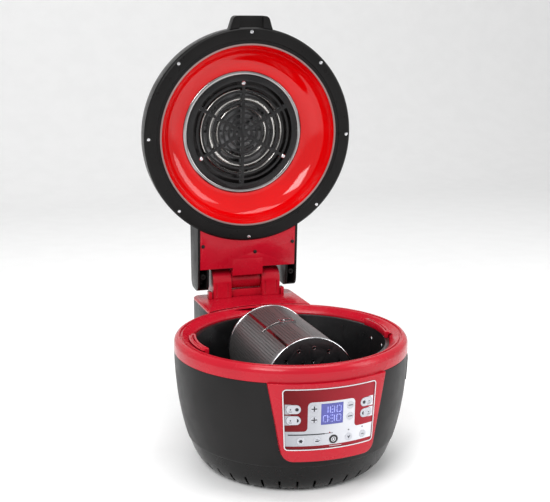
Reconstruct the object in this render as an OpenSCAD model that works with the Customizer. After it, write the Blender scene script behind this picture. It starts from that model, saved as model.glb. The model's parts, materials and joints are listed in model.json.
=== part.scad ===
// Lidded countertop fryer: round bowl housing, lift-out pot, rotating basket and
// a hinged heater lid. Modelled with the lid open. Millimetres, +Z up, the front
// (control panel) towards -Y, the origin on the table at the centre of the bowl.

/* [Bowl housing] */
// Outer radius of the bowl and of its red rim
shell_r = 175; // [170:1:215]
// Radius that the bowl curves in to at the table
foot_r = 118; // [100:1:130]
// Height over which the bowl's side curves in to its foot
curve_h = 174.5; // [165:0.5:176]
// Height of the bowl's top edge above the table
shell_h = 174.5; // [165:0.5:210]
// Height of the seam between bowl and base tray
seam_z = 46; // [40:1:52]
// Wall thickness of the moulded housing
shell_wall = 2.5; // [2:0.25:4]
// Height of the rubber feet
foot_h = 5; // [4:0.5:8]
// Number of ventilation slots round the base tray
tray_slots = 36; // [24:2:40]

/* [Rim and deck] */
// Height of the red rim above the bowl's edge
rim_h = 22.5; // [20:0.5:28]
// Radius of the opening in the rim
mouth_r = 149; // [147:0.5:152]
// Half width of the deck, the rear housing and the lid's arm
deck_half_w = 87; // [80:1:92]
// Thickness of the deck plate
deck_t = 5; // [4:0.5:8]
// Distance from the hinge axis to the deck's rear edge
deck_rear = 20; // [18:1:30]

/* [Pot] */
// Outer radius of the pot
pot_r = 143; // [141:0.5:143]
// Wall thickness of the pot
pot_wall = 1.2; // [1:0.1:2]
// Clearance between the pot's floor and the heat shield under it
pot_floor_gap = 3; // [2:0.5:6]
// Radius of the heat shield's bore
shield_r = 153; // [152:0.5:154]

/* [Basket] */
// Outer radius of the basket drum
basket_r = 67; // [58:0.5:70]
// Height of the basket's axis above the table
basket_z = 145; // [142:0.5:148]
// Front end of the drum, measured forward from the bowl's centre
basket_front = 90; // [80:1:95]
// Rear end of the drum, measured back from the bowl's centre
basket_rear = 108; // [100:1:112]
// Thickness of the drum's sheet
basket_wall = 1; // [0.8:0.1:1.5]
// Radius of the drum's spindle
spindle_r = 5; // [4:0.25:6]
// Radial clearance of a turning fit
turn_gap = 0.05; // [0.03:0.01:0.08]

/* [Lid] */
// Angle of the lid when it is open
lid_angle = 86.2; // [80:0.1:95]
// Height of the hinge axis above the top of the rim
hinge_above_rim = 27.9; // [27:0.1:32]
// Distance from the bowl's side back to the hinge axis
hinge_back = 74.6; // [70:0.1:125]
// Clearance between the closed lid and the rim
lid_gap = 0.4; // [0.3:0.1:1]
// Height of the lid's ring
ring_h = 10; // [8:0.5:12]
// Height of the dome above the lid's ring
dome_h = 94; // [92:0.5:110]
// Radius of the red dish at the lid's ring
dish_r = 147; // [140:0.5:147]
// Depth of the dish, from the ring's face to the fan guard
dish_depth = 42; // [38:0.5:46]
// Radius of the opening behind the fan guard
guard_r = 97; // [85:0.5:98]
// Radius of the hinge pin
pin_r = 4; // [3:0.25:5]

/* [Control panel] */
// How far the panel's face stands out from the bowl at the top edge
panel_proud = 3; // [2:0.25:5]
// How much the panel's radius shrinks for each millimetre down
panel_slope = 0.055; // [0.04:0.005:0.08]
// Radius of the round keys
key_r = 5.5; // [3.5:0.1:6]
// Travel of the keys
key_travel = 0.5; // [0.3:0.1:0.8]

/* [Hidden] */

$fn = 64;
e = 0.01;                     // a cut's overrun
big = 400;                    // longer than anything that is cut

// Heights
rim_z = shell_h + rim_h;      // top of the rim
lid_z = rim_z + lid_gap;      // face of the closed lid's ring
hinge_z = rim_z + hinge_above_rim;
hinge_y = shell_r + hinge_back;
ledge_t = 3.5;                // the step in the rim that the pot hangs on
ledge_z = rim_z - 12.5;       // top of that step
flange_t = 1.5;               // the pot's rolled edge
shield_t = 0.8;
shield_z = 48;                // underside of the heat shield
pot_z = shield_z + shield_t + pot_floor_gap;
pot_top = ledge_z + flange_t;

// Colours
black = [0.11, 0.11, 0.12];
red = [0.78, 0.13, 0.18];
gloss_red = [0.75, 0.0, 0.02];
silver = [0.75, 0.75, 0.77];
steel = [0.6, 0.6, 0.62];
white = [0.88, 0.89, 0.9];
copper = [0.7, 0.45, 0.2];
green = [0.1, 0.35, 0.2];
blue = [0.15, 0.2, 0.7];

// ---------------------------------------------------------------- outlines

function unit(v) = v / norm(v);

// An arc of n steps that rounds the corner b of the path a, b, c.
function corner(a, b, c, r, n) =
    let (u = unit(a - b), w = unit(c - b))
    let (half = acos(u * w) / 2)
    let (ctr = b + unit(u + w) * (r / sin(half)))
    let (s = b + u * (r / tan(half)) - ctr, f = b + w * (r / tan(half)) - ctr)
    let (a0 = atan2(s.y, s.x), a1 = atan2(f.y, f.x))
    let (turn = (a1 - a0 + 540) % 360 - 180)
    [for (i = [0:n]) ctr + r * [cos(a0 + turn * i / n), sin(a0 + turn * i / n)]];

// A polygon with every corner rounded to its own radius.
function rounded(pts, radii, n = 5) =
    let (m = len(pts))
    [for (i = [0:m - 1])
        each (radii[i] > 0
            ? corner(pts[(i + m - 1) % m], pts[i], pts[(i + 1) % m], radii[i], n)
            : [pts[i]])];

// The bowl's outer radius at height z.
function bowl_r(z) =
    foot_r + (shell_r - foot_r) * pow(1 - pow(1 - min(z / curve_h, 1), 1.8), 1 / 2.2);

// Points on the bowl from z0 to z1, moved inwards by inset.
function bowl_points(z0, z1, inset, n) =
    [for (i = [0:n]) let (z = z0 + (z1 - z0) * i / n) [bowl_r(z) - inset, z]];

// The panel face's radius at height z.
function panel_r(z) = shell_r + panel_proud - (shell_h - z) * panel_slope;

// A point of the lid's dome at the fraction t of its quarter turn.
function dome_point(r, h, t) = [r * pow(cos(90 * t), 0.55), h * pow(sin(90 * t), 0.8)];

tray_n = 8;                   // steps in the tray's curve
shell_n = 12;                 // steps in the bowl's curve above the seam

// The bowl as a solid, from the tray's floor up.
module bowl_solid(inset) {
    rotate_extrude($fn = 96)
        polygon(concat([[0, tray_floor]], bowl_points(tray_floor, seam_z, inset, tray_n),
            bowl_points(seam_z, shell_h, inset, shell_n), [[0, shell_h]]));
}

// A conical band behind the panel's face, from depth back to depth front.
module panel_band(back, front, z0 = panel_low, z1 = panel_high) {
    rotate_extrude($fn = 96)
        polygon([
            [panel_r(z0) - back, z0], [panel_r(z0) - front, z0],
            [panel_r(z1) - front, z1], [panel_r(z1) - back, z1]
        ]);
}

// A shape drawn in the X-Z plane, extruded through the front wall.
module through_front() {
    translate([0, -100, 0])
        rotate([90, 0, 0])
            linear_extrude(120)
                children();
}

// Places a child, drawn along -Y at the bowl's centre, at an angle on the panel.
module at_panel(angle, z) {
    rotate([0, 0, angle])
        translate([0, 0, z])
            children();
}

// Moves a child from the closed lid's place to the open lid's place.
module open_lid() {
    translate([0, hinge_y, hinge_z])
        rotate([-lid_angle, 0, 0])
            translate([0, -hinge_y, -hinge_z])
                children();
}

// A ring with a rectangular section.
module ring(r_in, r_out, z, h) {
    translate([0, 0, z])
        difference() {
            cylinder(r = r_out, h = h, $fn = 96);
            translate([0, 0, -1])
                cylinder(r = r_in, h = h + 2, $fn = 96);
        }
}

// A bar along Y.
module y_rod(r, y0, y1, z) {
    translate([0, y1, z])
        rotate([90, 0, 0])
            cylinder(r = r, h = y1 - y0);
}

// A bar along X.
module x_rod(r, x0, x1, y, z) {
    translate([x0, y, z])
        rotate([0, 90, 0])
            cylinder(r = r, h = x1 - x0);
}

module mirrored() {
    children();
    mirror([1, 0, 0]) children();
}

// ------------------------------------------------------------ base and bowl

foot_pad_r = 9;
foot_ring_r = 98;
foot_angles = [33, 147, 213, 327];
tray_floor = foot_h;          // underside of the tray

skirt_r = 84;                 // the ring under the tray that rests on the table
skirt_t = 3;

module base_tray() {
    inner = bowl_points(tray_floor + shell_wall, seam_z, shell_wall, tray_n);
    color(black)
        difference() {
            rotate_extrude($fn = 96)
                polygon(concat(
                    [[0, tray_floor], [skirt_r, tray_floor], [skirt_r, 0],
                     [skirt_r + skirt_t, 0], [skirt_r + skirt_t, tray_floor]],
                    bowl_points(tray_floor, seam_z, 0, tray_n),
                    [for (i = [tray_n:-1:0]) inner[i]],
                    [[0, tray_floor + shell_wall]]
                ));
            for (i = [0:tray_slots - 1])
                rotate([0, 0, (i + 0.5) * 360 / tray_slots])
                    translate([foot_r - 6, -1.6, tray_floor - 1])
                        cube([shell_r - foot_r - 7, 3.2, 17]);
        }
}

module feet() {
    color([0.05, 0.05, 0.05])
        for (a = foot_angles)
            rotate([0, 0, a - 90])
                translate([foot_ring_r, 0, 0])
                    cylinder(r1 = foot_pad_r - 1, r2 = foot_pad_r, h = foot_h);
}

// Outlines on the panel, in the X-Z plane, hung from the bowl's top edge.
bezel_bottom = shell_h - 113;
bezel_half_bottom = 65.5;
bezel_half_top = 86.5;
panel_low = bezel_bottom - 21.5;
panel_high = shell_h + 5.5;
foil_bottom = shell_h - 94.5;
foil_top = shell_h - 8;
foil_half_bottom = 63.5;
foil_half_top = 67.5;
trim_w = 1.4;

module bezel_outline() {
    polygon(rounded(
        [[-bezel_half_bottom, bezel_bottom], [bezel_half_bottom, bezel_bottom],
         [bezel_half_top, shell_h + e], [-bezel_half_top, shell_h + e]],
        [16, 16, 0, 0]));
}

module foil_outline(g) {
    polygon(rounded(
        [[-foil_half_bottom - g, foil_bottom - g], [foil_half_bottom + g, foil_bottom - g],
         [foil_half_top + g, foil_top + g], [-foil_half_top - g, foil_top + g]],
        [4 + g, 4 + g, 4 + g, 4 + g]));
}

shaft_hole_r = 6;
vent_angle = 66;
vent_half_w = 11;
vent_z = shell_h - 42.5;
vent_h = 34;

module vent_outline(g) {
    translate([-vent_half_w - g, vent_z - g])
        square([2 * (vent_half_w + g), vent_h + 2 * g]);
}

module body_shell() {
    color(black)
        difference() {
            rotate_extrude($fn = 96)
                polygon(concat(
                    bowl_points(seam_z, shell_h, 0, shell_n),
                    [for (i = [shell_n:-1:0]) bowl_points(seam_z, shell_h, shell_wall, shell_n)[i]]));
            through_front() bezel_outline();
            rotate([0, 0, vent_angle]) through_front() vent_outline(0);
            y_rod(shaft_hole_r, 100, shell_r + 25, basket_z);
        }
}

module side_vent() {
    slot_pitch = 6;
    color([0.05, 0.05, 0.05])
        rotate([0, 0, vent_angle])
            difference() {
                intersection() {
                    difference() {
                        bowl_solid(-1);
                        bowl_solid(shell_wall);
                    }
                    through_front() vent_outline(0);
                }
                for (i = [0:4])
                    translate([-vent_half_w + 2.5, -shell_r - 25, vent_z + 3.5 + i * slot_pitch])
                        cube([2 * vent_half_w - 5, 60, 3]);
            }
}

module heat_shield() {
    flange_w = 8;
    color(steel)
        difference() {
            union() {
                translate([0, 0, shield_z])
                    cylinder(r = shield_r + shield_t, h = shell_h - shield_z, $fn = 96);
                translate([0, 0, shell_h - shield_t])
                    cylinder(r = shield_r + flange_w, h = shield_t, $fn = 96);
            }
            translate([0, 0, shield_z + shield_t])
                cylinder(r = shield_r, h = big, $fn = 96);
            y_rod(shaft_hole_r, 100, 200, basket_z);
        }
}

// --------------------------------------------------------------- rim, deck

tongue_half_t = 1.5;          // half thickness of the spindle's drive tongue
tongue_half_h = 9;
tongue_out = 5.3;             // how far the tongue stands out of the pot's wall

module rim_ring() {
    ledge_r = pot_r + 1.5;
    color(red)
        difference() {
            rotate_extrude($fn = 128)
                polygon([
                    [shell_r, shell_h], [shell_r, rim_z - 9], [shell_r - 1, rim_z - 5],
                    [shell_r - 3.4, rim_z - 1.6], [shell_r - 6.2, rim_z],
                    [shell_r - 9, rim_z], [shell_r - 9.6, rim_z - 1.6],
                    [shell_r - 11.4, rim_z - 1.6], [shell_r - 12, rim_z],
                    [shell_r - 15, rim_z - 0.8], [mouth_r + 3, rim_z - 6],
                    [mouth_r + 0.6, rim_z - 8], [mouth_r, rim_z - 9.5],
                    [mouth_r, ledge_z], [ledge_r, ledge_z], [ledge_r, ledge_z - ledge_t],
                    [mouth_r + 1, ledge_z - ledge_t], [mouth_r + 4, shell_h]
                ]);
            // a notch in the ledge lets the drive tongue pass when the pot is lifted
            translate([-tongue_half_t - 2.5, 100, 0])
                intersection() {
                    cube([2 * tongue_half_t + 5, 100, ledge_z]);
                    translate([tongue_half_t + 2.5, -100, 0])
                        cylinder(r = mouth_r, h = ledge_z, $fn = 96);
                }
        }
}

deck_corner = 15;
rear_y = hinge_y + deck_rear;

module deck_outline(g) {
    w = deck_half_w - g;
    y = rear_y - g;
    polygon(rounded([[-w, 100], [w, 100], [w, y], [-w, y]], [0, 0, deck_corner - g, deck_corner - g]));
}

module hinge_deck() {
    edge_step = 1.2;
    color(red)
        difference() {
            union() {
                translate([0, 0, rim_z - deck_t])
                    linear_extrude(deck_t - edge_step)
                        deck_outline(0);
                translate([0, 0, rim_z - edge_step])
                    linear_extrude(edge_step)
                        deck_outline(edge_step);
            }
            cylinder(r = shell_r, h = big, $fn = 128);
        }
}

housing_floor = 14;

module rear_housing() {
    color(black)
        difference() {
            translate([0, 0, housing_floor])
                linear_extrude(rim_z - deck_t - housing_floor)
                    deck_outline(0);
            translate([0, 0, housing_floor + shell_wall])
                linear_extrude(big)
                    deck_outline(shell_wall);
            // the bowl and the rim fill the front of this housing
            bowl_solid(0);
            translate([0, 0, shell_h - e])
                cylinder(r = shell_r, h = big, $fn = 128);
            // opening for the power inlet
            translate([-inlet_half_w, rear_y - 10, inlet_z])
                cube([2 * inlet_half_w, 20, inlet_h]);
            // exhaust slots
            for (i = [-4:4])
                translate([i * 11 - 2, rear_y - 10, rim_z - 87])
                    cube([4, 20, 40]);
        }
}

inlet_half_w = 13.5;
inlet_h = 20;
inlet_z = 40;

module power_inlet() {
    depth = 20;
    color([0.08, 0.08, 0.08]) {
        difference() {
            union() {
                translate([-inlet_half_w, rear_y - depth, inlet_z])
                    cube([2 * inlet_half_w, depth, inlet_h]);
                translate([-inlet_half_w - 4, rear_y, inlet_z - 4])
                    cube([2 * inlet_half_w + 8, 2, inlet_h + 8]);
            }
            translate([-inlet_half_w + 2, rear_y - depth + 3, inlet_z + 2])
                cube([2 * inlet_half_w - 4, depth, inlet_h - 4]);
        }
        for (x = [-7, 0, 7])
            translate([x - 1, rear_y - depth + 3 - e, inlet_z + 8 + (x == 0 ? 3 : 0)])
                cube([2, 13, 4]);
    }
}

tower_in = 27;
tower_out = 59;
knuckle_r = 20;
web_half = 11.4;              // half thickness of the wall between the towers

module hinge_towers() {
    web_top = hinge_z - barrel_r - 0.5;
    color(red) {
        // the low wall between the towers, under the barrel
        translate([-tower_in - 1, hinge_y - web_half, rim_z])
            cube([2 * tower_in + 2, 2 * web_half, web_top - rim_z]);
        mirrored()
            difference() {
                union() {
                    translate([tower_in, hinge_y - knuckle_r, rim_z])
                        cube([tower_out - tower_in, 2 * knuckle_r - 2, hinge_above_rim]);
                    x_rod(knuckle_r, tower_in, tower_out, hinge_y, hinge_z);
                }
                // grooves down the tower's front
                for (x = [33, 53])
                    translate([x - 1, hinge_y - knuckle_r - 1, rim_z + 3])
                        cube([2, 2.2, hinge_above_rim - 6]);
                x_rod(pin_r, 0, tower_out - 3, hinge_y, hinge_z);
            }
    }
}

module hinge_pin() {
    color(steel)
        x_rod(pin_r, -tower_out + 3, tower_out - 3, hinge_y, hinge_z);
}

post_x = 60.8;
post_w = 6;
arm_rear = 12;                // how far the arm reaches past the hinge axis
stop_gap = 0.5;

module stop_posts() {
    top = hinge_z - arm_rear - stop_gap - 3;
    color(red)
        mirrored()
            translate([post_x, hinge_y - 20, rim_z])
                cube([post_w, 13, top - rim_z]);
}

// ------------------------------------------------------------ control panel

bezel_depth = 7;
ledge_depth = 1.7;

module panel_bezel() {
    color(red)
        difference() {
            intersection() {
                panel_band(bezel_depth, -1.2);
                through_front() bezel_outline();
            }
            intersection() {
                panel_band(ledge_depth, -5);
                through_front() foil_outline(trim_w);
            }
            through_front() foil_outline(-3);
        }
}

module panel_trim() {
    color(silver)
        intersection() {
            panel_band(ledge_depth, -1.6);
            through_front()
                difference() {
                    foil_outline(trim_w);
                    foil_outline(0);
                }
        }
}

// The angle of a place that is s round the panel from its middle.
function panel_angle(s) = s / (shell_r + panel_proud) * 180 / PI;

// Places of the keys on the panel: heights, and angles from the middle
upper_key_z = shell_h - 36;
lower_key_z = shell_h - 52;
row_key_z = shell_h - 82.5;
row_pitch = panel_angle(23.61);
row_middle = panel_angle(2.8);
plus_angle = panel_angle(-26.1);
minus_angle = panel_angle(27.34);
program_angle = panel_angle(54.68);
key_gap = 0.3;
key_proud = key_travel + 0.2;
power_key_r = 6.4;
program_half_w = 10;
program_half_h = 6.4;
lcd_half_w = 16;
lcd_bottom = shell_h - 60;
lcd_top = shell_h - 29.5;

module round_prism(r) {
    translate([0, -100, 0])
        rotate([90, 0, 0])
            cylinder(r = r, h = 120, $fn = 32);
}

// A bar with round ends, drawn through the front wall.
module stadium_prism(g) {
    for (s = [-1, 1])
        translate([s * (program_half_w - program_half_h), 0, 0])
            round_prism(program_half_h + g);
    translate([-program_half_w + program_half_h, -220, -program_half_h - g])
        cube([2 * (program_half_w - program_half_h), 120, 2 * (program_half_h + g)]);
}

module lcd_prism(g) {
    half = lcd_half_w + g;
    translate([-half, -220, lcd_bottom - g])
        cube([2 * half, 120, lcd_top - lcd_bottom + 2 * g]);
}

module round_key(angle, z, r, tone) {
    color(tone)
        intersection() {
            panel_band(3, -key_proud, z - 12, z + 12);
            at_panel(angle, z) round_prism(r);
        }
}

module program_key(angle, z) {
    color(silver)
        intersection() {
            panel_band(3, -key_proud, z - 12, z + 12);
            at_panel(angle, z) stadium_prism(0);
        }
}

module panel_overlay() {
    color(white)
        difference() {
            intersection() {
                panel_band(ledge_depth, 0);
                through_front() foil_outline(0);
            }
            lcd_prism(0);
            for (z = [upper_key_z, lower_key_z]) {
                for (a = [plus_angle, minus_angle])
                    at_panel(a, z) round_prism(key_r + key_gap);
                for (a = [-program_angle, program_angle])
                    at_panel(a, z) stadium_prism(key_gap);
            }
            for (i = [-2, -1, 1, 2])
                at_panel(row_middle + i * row_pitch, row_key_z) round_prism(key_r + key_gap);
            at_panel(row_middle, row_key_z) round_prism(power_key_r + key_gap);
        }
}

board_t = 1.6;
board_y = max(shell_r - 16.8, shield_r + shield_t + 1);

module display_window() {
    color(blue)
        difference() {
            intersection() {
                lcd_prism(0);
                bowl_panel_front(-0.3);
            }
            translate([-big / 2, -board_y, 0])
                cube([big, big, big]);
        }
}

// Everything behind the panel's face, moved inwards by inset.
module bowl_panel_front(inset) {
    rotate_extrude($fn = 96)
        polygon([
            [0, panel_low], [panel_r(panel_low) - inset, panel_low],
            [panel_r(panel_high) - inset, panel_high], [0, panel_high]
        ]);
}

module control_board() {
    half_w = 44;
    color(green)
        translate([-half_w, -board_y, lcd_bottom - 26])
            cube([2 * half_w, board_t, lcd_top - lcd_bottom + 40]);
}

// ------------------------------------------------------------- basket drive

disc_r = 13;
disc_front = pot_r + 0.8;
disc_back = shield_r - 1;
shaft_r = 4;
motor_y = shell_r + 7;

module drive_coupling() {
    slot_gap = 0.3;
    color(steel)
        difference() {
            union() {
                y_rod(disc_r, disc_front, disc_back, basket_z);
                y_rod(shaft_r, disc_back - 1, motor_y + 8, basket_z);
            }
            translate([-tongue_half_t - slot_gap, disc_front - 1, basket_z - disc_r - 1])
                cube([2 * (tongue_half_t + slot_gap), tongue_out + 1, 2 * disc_r + 2]);
        }
}

module drive_motor() {
    half_w = 30;
    depth = 34;
    floor_z = housing_floor + shell_wall;
    color(silver)
        difference() {
            union() {
                translate([-half_w, motor_y, basket_z - half_w])
                    cube([2 * half_w, depth, 2 * half_w]);
                // the bracket down to the housing's floor
                translate([-half_w, motor_y + depth - 3, floor_z])
                    cube([2 * half_w, 3, basket_z - floor_z]);
                translate([-half_w, motor_y + depth - 3, floor_z])
                    cube([2 * half_w, 20, 3]);
            }
            y_rod(shaft_r + turn_gap, motor_y - 1, motor_y + 9, basket_z);
        }
}

// --------------------------------------------------------------------- pot

bush_r = 9;
pot_corner = 14;
pot_in = pot_r - pot_wall;

module pot() {
    arc_n = 6;
    outer = [for (i = [0:arc_n]) [
        pot_r - pot_corner * (1 - sin(90 * i / arc_n)),
        pot_z + pot_corner * (1 - cos(90 * i / arc_n))]];
    inner_c = pot_corner - pot_wall;
    inner = [for (i = [arc_n:-1:0]) [
        pot_in - inner_c * (1 - sin(90 * i / arc_n)),
        pot_z + pot_wall + inner_c * (1 - cos(90 * i / arc_n))]];
    color(black)
        difference() {
            rotate_extrude($fn = 96)
                polygon(concat(
                    [[0, pot_z]], outer,
                    [[pot_r, ledge_z], [mouth_r - 1, ledge_z], [mouth_r - 1, pot_top],
                     [pot_in, pot_top]],
                    inner, [[0, pot_z + pot_wall]]));
            y_rod(bush_r, 100, 200, basket_z);
        }
}

grip_half_angle = 16;
grip_top = rim_z - 1;

module pot_grips() {
    foot_in = pot_in + 0.2;
    color(red)
        mirrored()
            rotate([0, 0, -grip_half_angle])
                rotate_extrude(angle = 2 * grip_half_angle, $fn = 128)
                    polygon([
                        [foot_in, pot_top], [mouth_r - 1.2, pot_top],
                        [mouth_r - 1.2, rim_z - 6.8], [mouth_r + 0.4, rim_z - 4.6],
                        [mouth_r + 3.4, rim_z - 4.2], [mouth_r + 3.8, rim_z - 2.8],
                        [mouth_r + 0.6, rim_z - 3], [mouth_r + 0.6, grip_top - 0.8],
                        [mouth_r - 0.2, grip_top], [foot_in + 0.8, grip_top],
                        [foot_in, grip_top - 0.8]
                    ]);
}

rivet_angles = [-98, -82, 82, 98];
rivet_z = ledge_z - 16.5;

module pot_rivets() {
    rivet_r = 3.6;
    rivet_t = 1.5;
    color(silver)
        for (a = rivet_angles)
            rotate([0, 0, a])
                translate([0, -pot_in + rivet_t + 0.1, rivet_z])
                    rotate([90, 0, 0])
                        cylinder(r = rivet_r, h = rivet_t, $fn = 24);
}

bracket_y = basket_front + 9;  // middle of the bracket's plate, forward of the centre
cradle_gap = 0.05;
pot_floor = pot_z + pot_wall;

module front_bracket() {
    half_w = 13;
    plate_t = 3;
    color(silver)
        difference() {
            union() {
                translate([-half_w, -bracket_y - plate_t / 2, pot_floor])
                    cube([2 * half_w, plate_t, basket_z + 4 - pot_floor]);
                translate([-half_w, -bracket_y - plate_t / 2 - 14, pot_floor])
                    cube([2 * half_w, 14 + plate_t, 2]);
            }
            y_rod(spindle_r + cradle_gap, -bracket_y - 20, -bracket_y + 20, basket_z);
            translate([-spindle_r - cradle_gap, -bracket_y - 20, basket_z])
                cube([2 * (spindle_r + cradle_gap), 40, 20]);
        }
}

module rear_bush() {
    flange_r = bush_r + 3;
    color(steel)
        difference() {
            union() {
                intersection() {
                    y_rod(bush_r, pot_in - 6, pot_r + 5, basket_z);
                    cylinder(r = pot_r, h = big, $fn = 96);
                }
                y_rod(flange_r, pot_in - 6, pot_in - 3.4, basket_z);
            }
            y_rod(spindle_r + turn_gap, 100, 200, basket_z);
        }
}

// ------------------------------------------------------------------ basket

end_t = 1.2;
rim_w = 5;
door_from = 2;                // the door's edges, in degrees from the top
door_to = 80;
door_half_gap = 0.5;
door_front = -basket_front + 9;
door_back = basket_rear - 9;
basket_in = basket_r - basket_wall;

// Moves a child, drawn round the Y axis through the origin, to the basket's axis.
module at_basket() {
    translate([0, 0, basket_z])
        children();
}

// A strip of the drum's wall between two angles from the top, towards +X.
module drum_strip(r_in, r_out, a0, a1, y0, y1) {
    at_basket()
        translate([0, y1, 0])
            rotate([90, 0, 0])
                rotate([0, 0, 90 - a1])
                    rotate_extrude(angle = a1 - a0, $fn = 96)
                        translate([r_in, 0])
                            square([r_out - r_in, y1 - y0]);
}

door_pin_r = 1.3;             // the rod along the door's lower edge
door_pin_x = (basket_r + 0.5) * sin(door_to);
door_pin_z = basket_z + (basket_r + 0.5) * cos(door_to);
door_lug_r = 2.6;
door_lug_t = 3;
stud_x = -8;
stud_r = 1.6;
stud_h = 4.2;
basket_mid_y = (door_front + door_back) / 2;

// A bar on the door's hinge axis that reaches past the door's opening by reach at each end.
module door_pin(r, reach) {
    translate([door_pin_x, 0, 0])
        y_rod(r, door_front - door_half_gap - reach, door_back + door_half_gap + reach,
            door_pin_z, $fn = 32);
}

module basket_shell() {
    color(steel) {
        difference() {
            y_rod(basket_r, -basket_front + end_t, basket_rear - end_t, basket_z);
            y_rod(basket_in, -basket_front, basket_rear, basket_z);
            drum_strip(basket_in - 1, basket_r + 1, door_from - door_half_gap,
                door_to + door_half_gap, door_front - door_half_gap, door_back + door_half_gap);
            door_pin(door_pin_r + 0.3, 0);
            door_pin(door_pin_r + turn_gap, door_lug_t + 1);
        }
        // the two lugs that carry the door's rod
        difference() {
            door_pin(door_lug_r, door_lug_t);
            door_pin(door_lug_r + 1, 0);
            door_pin(door_pin_r + turn_gap, door_lug_t + 1);
        }
        // the stud that the door's latch drops over
        translate([stud_x, basket_mid_y, basket_z + sqrt(pow(basket_in, 2) - pow(stud_x - 2, 2))])
            cylinder(r = stud_r, h = stud_h, $fn = 24);
    }
}

module drum_end(y) {
    holes = 14;
    hole_r = 2.4;
    hole_rings = [0.48, 0.78];   // the two rings' radii as shares of the drum's
    at_basket()
        translate([0, y + end_t, 0])
            rotate([90, 0, 0])
                difference() {
                    cylinder(r = basket_in, h = end_t, $fn = 96);
                    for (i = [0:holes - 1])
                        for (share = hole_rings)
                            rotate([0, 0, (i + 0.3) * 360 / holes])
                                translate([share * basket_r, 0, -1])
                                    cylinder(r = hole_r, h = end_t + 2, $fn = 24);
                }
}

module basket_front_end() {
    color(black) {
        drum_end(-basket_front);
        y_rod(spindle_r, -bracket_y - 4, -basket_front, basket_z);
        y_rod(spindle_r + 6, -basket_front - 3, -basket_front, basket_z);
    }
}

module basket_rear_end() {
    color(black)
        difference() {
            union() {
                drum_end(basket_rear - end_t);
                y_rod(spindle_r + 6, basket_rear - end_t, basket_rear + 6, basket_z);
            }
            y_rod(spindle_r, basket_rear - 30, basket_rear + 30, basket_z);
        }
}

module basket_rims() {
    color(silver)
        for (y = [-basket_front, basket_rear - end_t])
            difference() {
                y_rod(basket_r + 0.6, y, y + end_t, basket_z);
                y_rod(basket_in, y - 1, y + end_t + 1, basket_z);
            }
}

module basket_spindle() {
    wide_from = 1.1;          // the tongue widens this far outside the pot's wall
    color(steel) {
        y_rod(spindle_r, basket_rear - end_t, pot_r + 0.2, basket_z);
        translate([-tongue_half_t, pot_r - 1, basket_z - spindle_r + 0.5])
            cube([2 * tongue_half_t, 1 + tongue_out, 2 * spindle_r - 1]);
        translate([-tongue_half_t, pot_r + wide_from, basket_z - tongue_half_h])
            cube([2 * tongue_half_t, tongue_out - wide_from, 2 * tongue_half_h]);
    }
}

// The latch is a wire loop that lies over the seam and round the stud. It
// swings on a rod that two lugs on the door carry.
latch_t = 1.4;
latch_out = 15;               // how far the loop reaches past the top, towards -X
latch_half = 8;
latch_wire = 1.6;
latch_rod_r = 0.9;
latch_rod_x = 6.2;
latch_lift = 1.15;            // height of the rod's axis above the door
latch_rod_z = sqrt(pow(basket_r, 2) - pow(latch_rod_x, 2)) + latch_lift;
lug_t = 2;
lug_gap = 0.4;

module basket_door() {
    lug_base = sqrt(pow(basket_in + 0.3, 2) - pow(latch_rod_x + 1.5, 2));
    color([0.5, 0.5, 0.52]) {
        drum_strip(basket_in, basket_r, door_from, door_to, door_front, door_back);
        door_pin(door_pin_r, door_lug_t + 0.5);
        for (y = [-latch_half - lug_gap - lug_t, latch_half + lug_gap])
            translate([0, basket_mid_y + y, basket_z])
                difference() {
                    translate([latch_rod_x - 1.7, 0, lug_base])
                        cube([3.4, lug_t, latch_rod_z + 1.6 - lug_base]);
                    translate([latch_rod_x, lug_t + 1, latch_rod_z])
                        rotate([90, 0, 0])
                            cylinder(r = latch_rod_r + turn_gap, h = lug_t + 2, $fn = 24);
                }
    }
}

module basket_latch() {
    rod_half = latch_half + lug_gap + lug_t;
    color(silver)
        translate([0, basket_mid_y, basket_z + latch_rod_z]) {
            difference() {
                translate([-latch_out, -latch_half, -latch_t / 2])
                    cube([latch_out + latch_rod_x, 2 * latch_half, latch_t]);
                translate([-latch_out + latch_wire, -latch_half + latch_wire, -1])
                    cube([latch_out + latch_rod_x - 2 * latch_wire,
                        2 * (latch_half - latch_wire), 2]);
            }
            translate([latch_rod_x, rod_half, 0])
                rotate([90, 0, 0])
                    cylinder(r = latch_rod_r, h = 2 * rod_half, $fn = 24);
        }
}

// --------------------------------------------------------------------- lid

dome_z = lid_z + ring_h;
dome_wall = 2.5;
dome_n = 14;
cup_top = lid_z + dish_depth + 29;     // top of the fan chamber
dish_t = 1.2;

function dome_points(inset, n) =
    [for (i = [0:n])
        let (p = dome_point(shell_r + 0.5 - inset, dome_h - inset, i / n))
        [p.x, dome_z + p.y]];

module dome_solid(inset) {
    rotate_extrude($fn = 96)
        polygon(concat([[0, dome_z]], dome_points(inset, dome_n)));
}

module lid_dome() {
    slots = 20;
    color(black)
        open_lid()
            difference() {
                dome_solid(0);
                difference() {
                    dome_solid(dome_wall);
                    translate([0, 0, dome_z + dome_h - dome_wall])
                        cylinder(r = big, h = big);
                }
                for (i = [0:slots - 1])
                    rotate([0, 0, i * 360 / slots])
                        translate([38, -2, dome_z + dome_h - 20])
                            cube([30, 4, 40]);
            }
}

module lid_ring() {
    color(black)
        open_lid()
            rotate_extrude($fn = 128)
                polygon([
                    [dish_r + 3, lid_z], [shell_r - 1.5, lid_z], [shell_r + 0.5, lid_z + 2],
                    [shell_r + 0.5, dome_z], [dish_r + 3, dome_z]
                ]);
}

ring_screws = 8;
ring_screw_r = 168.5;
guard_screw_r = guard_r - 14;

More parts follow.
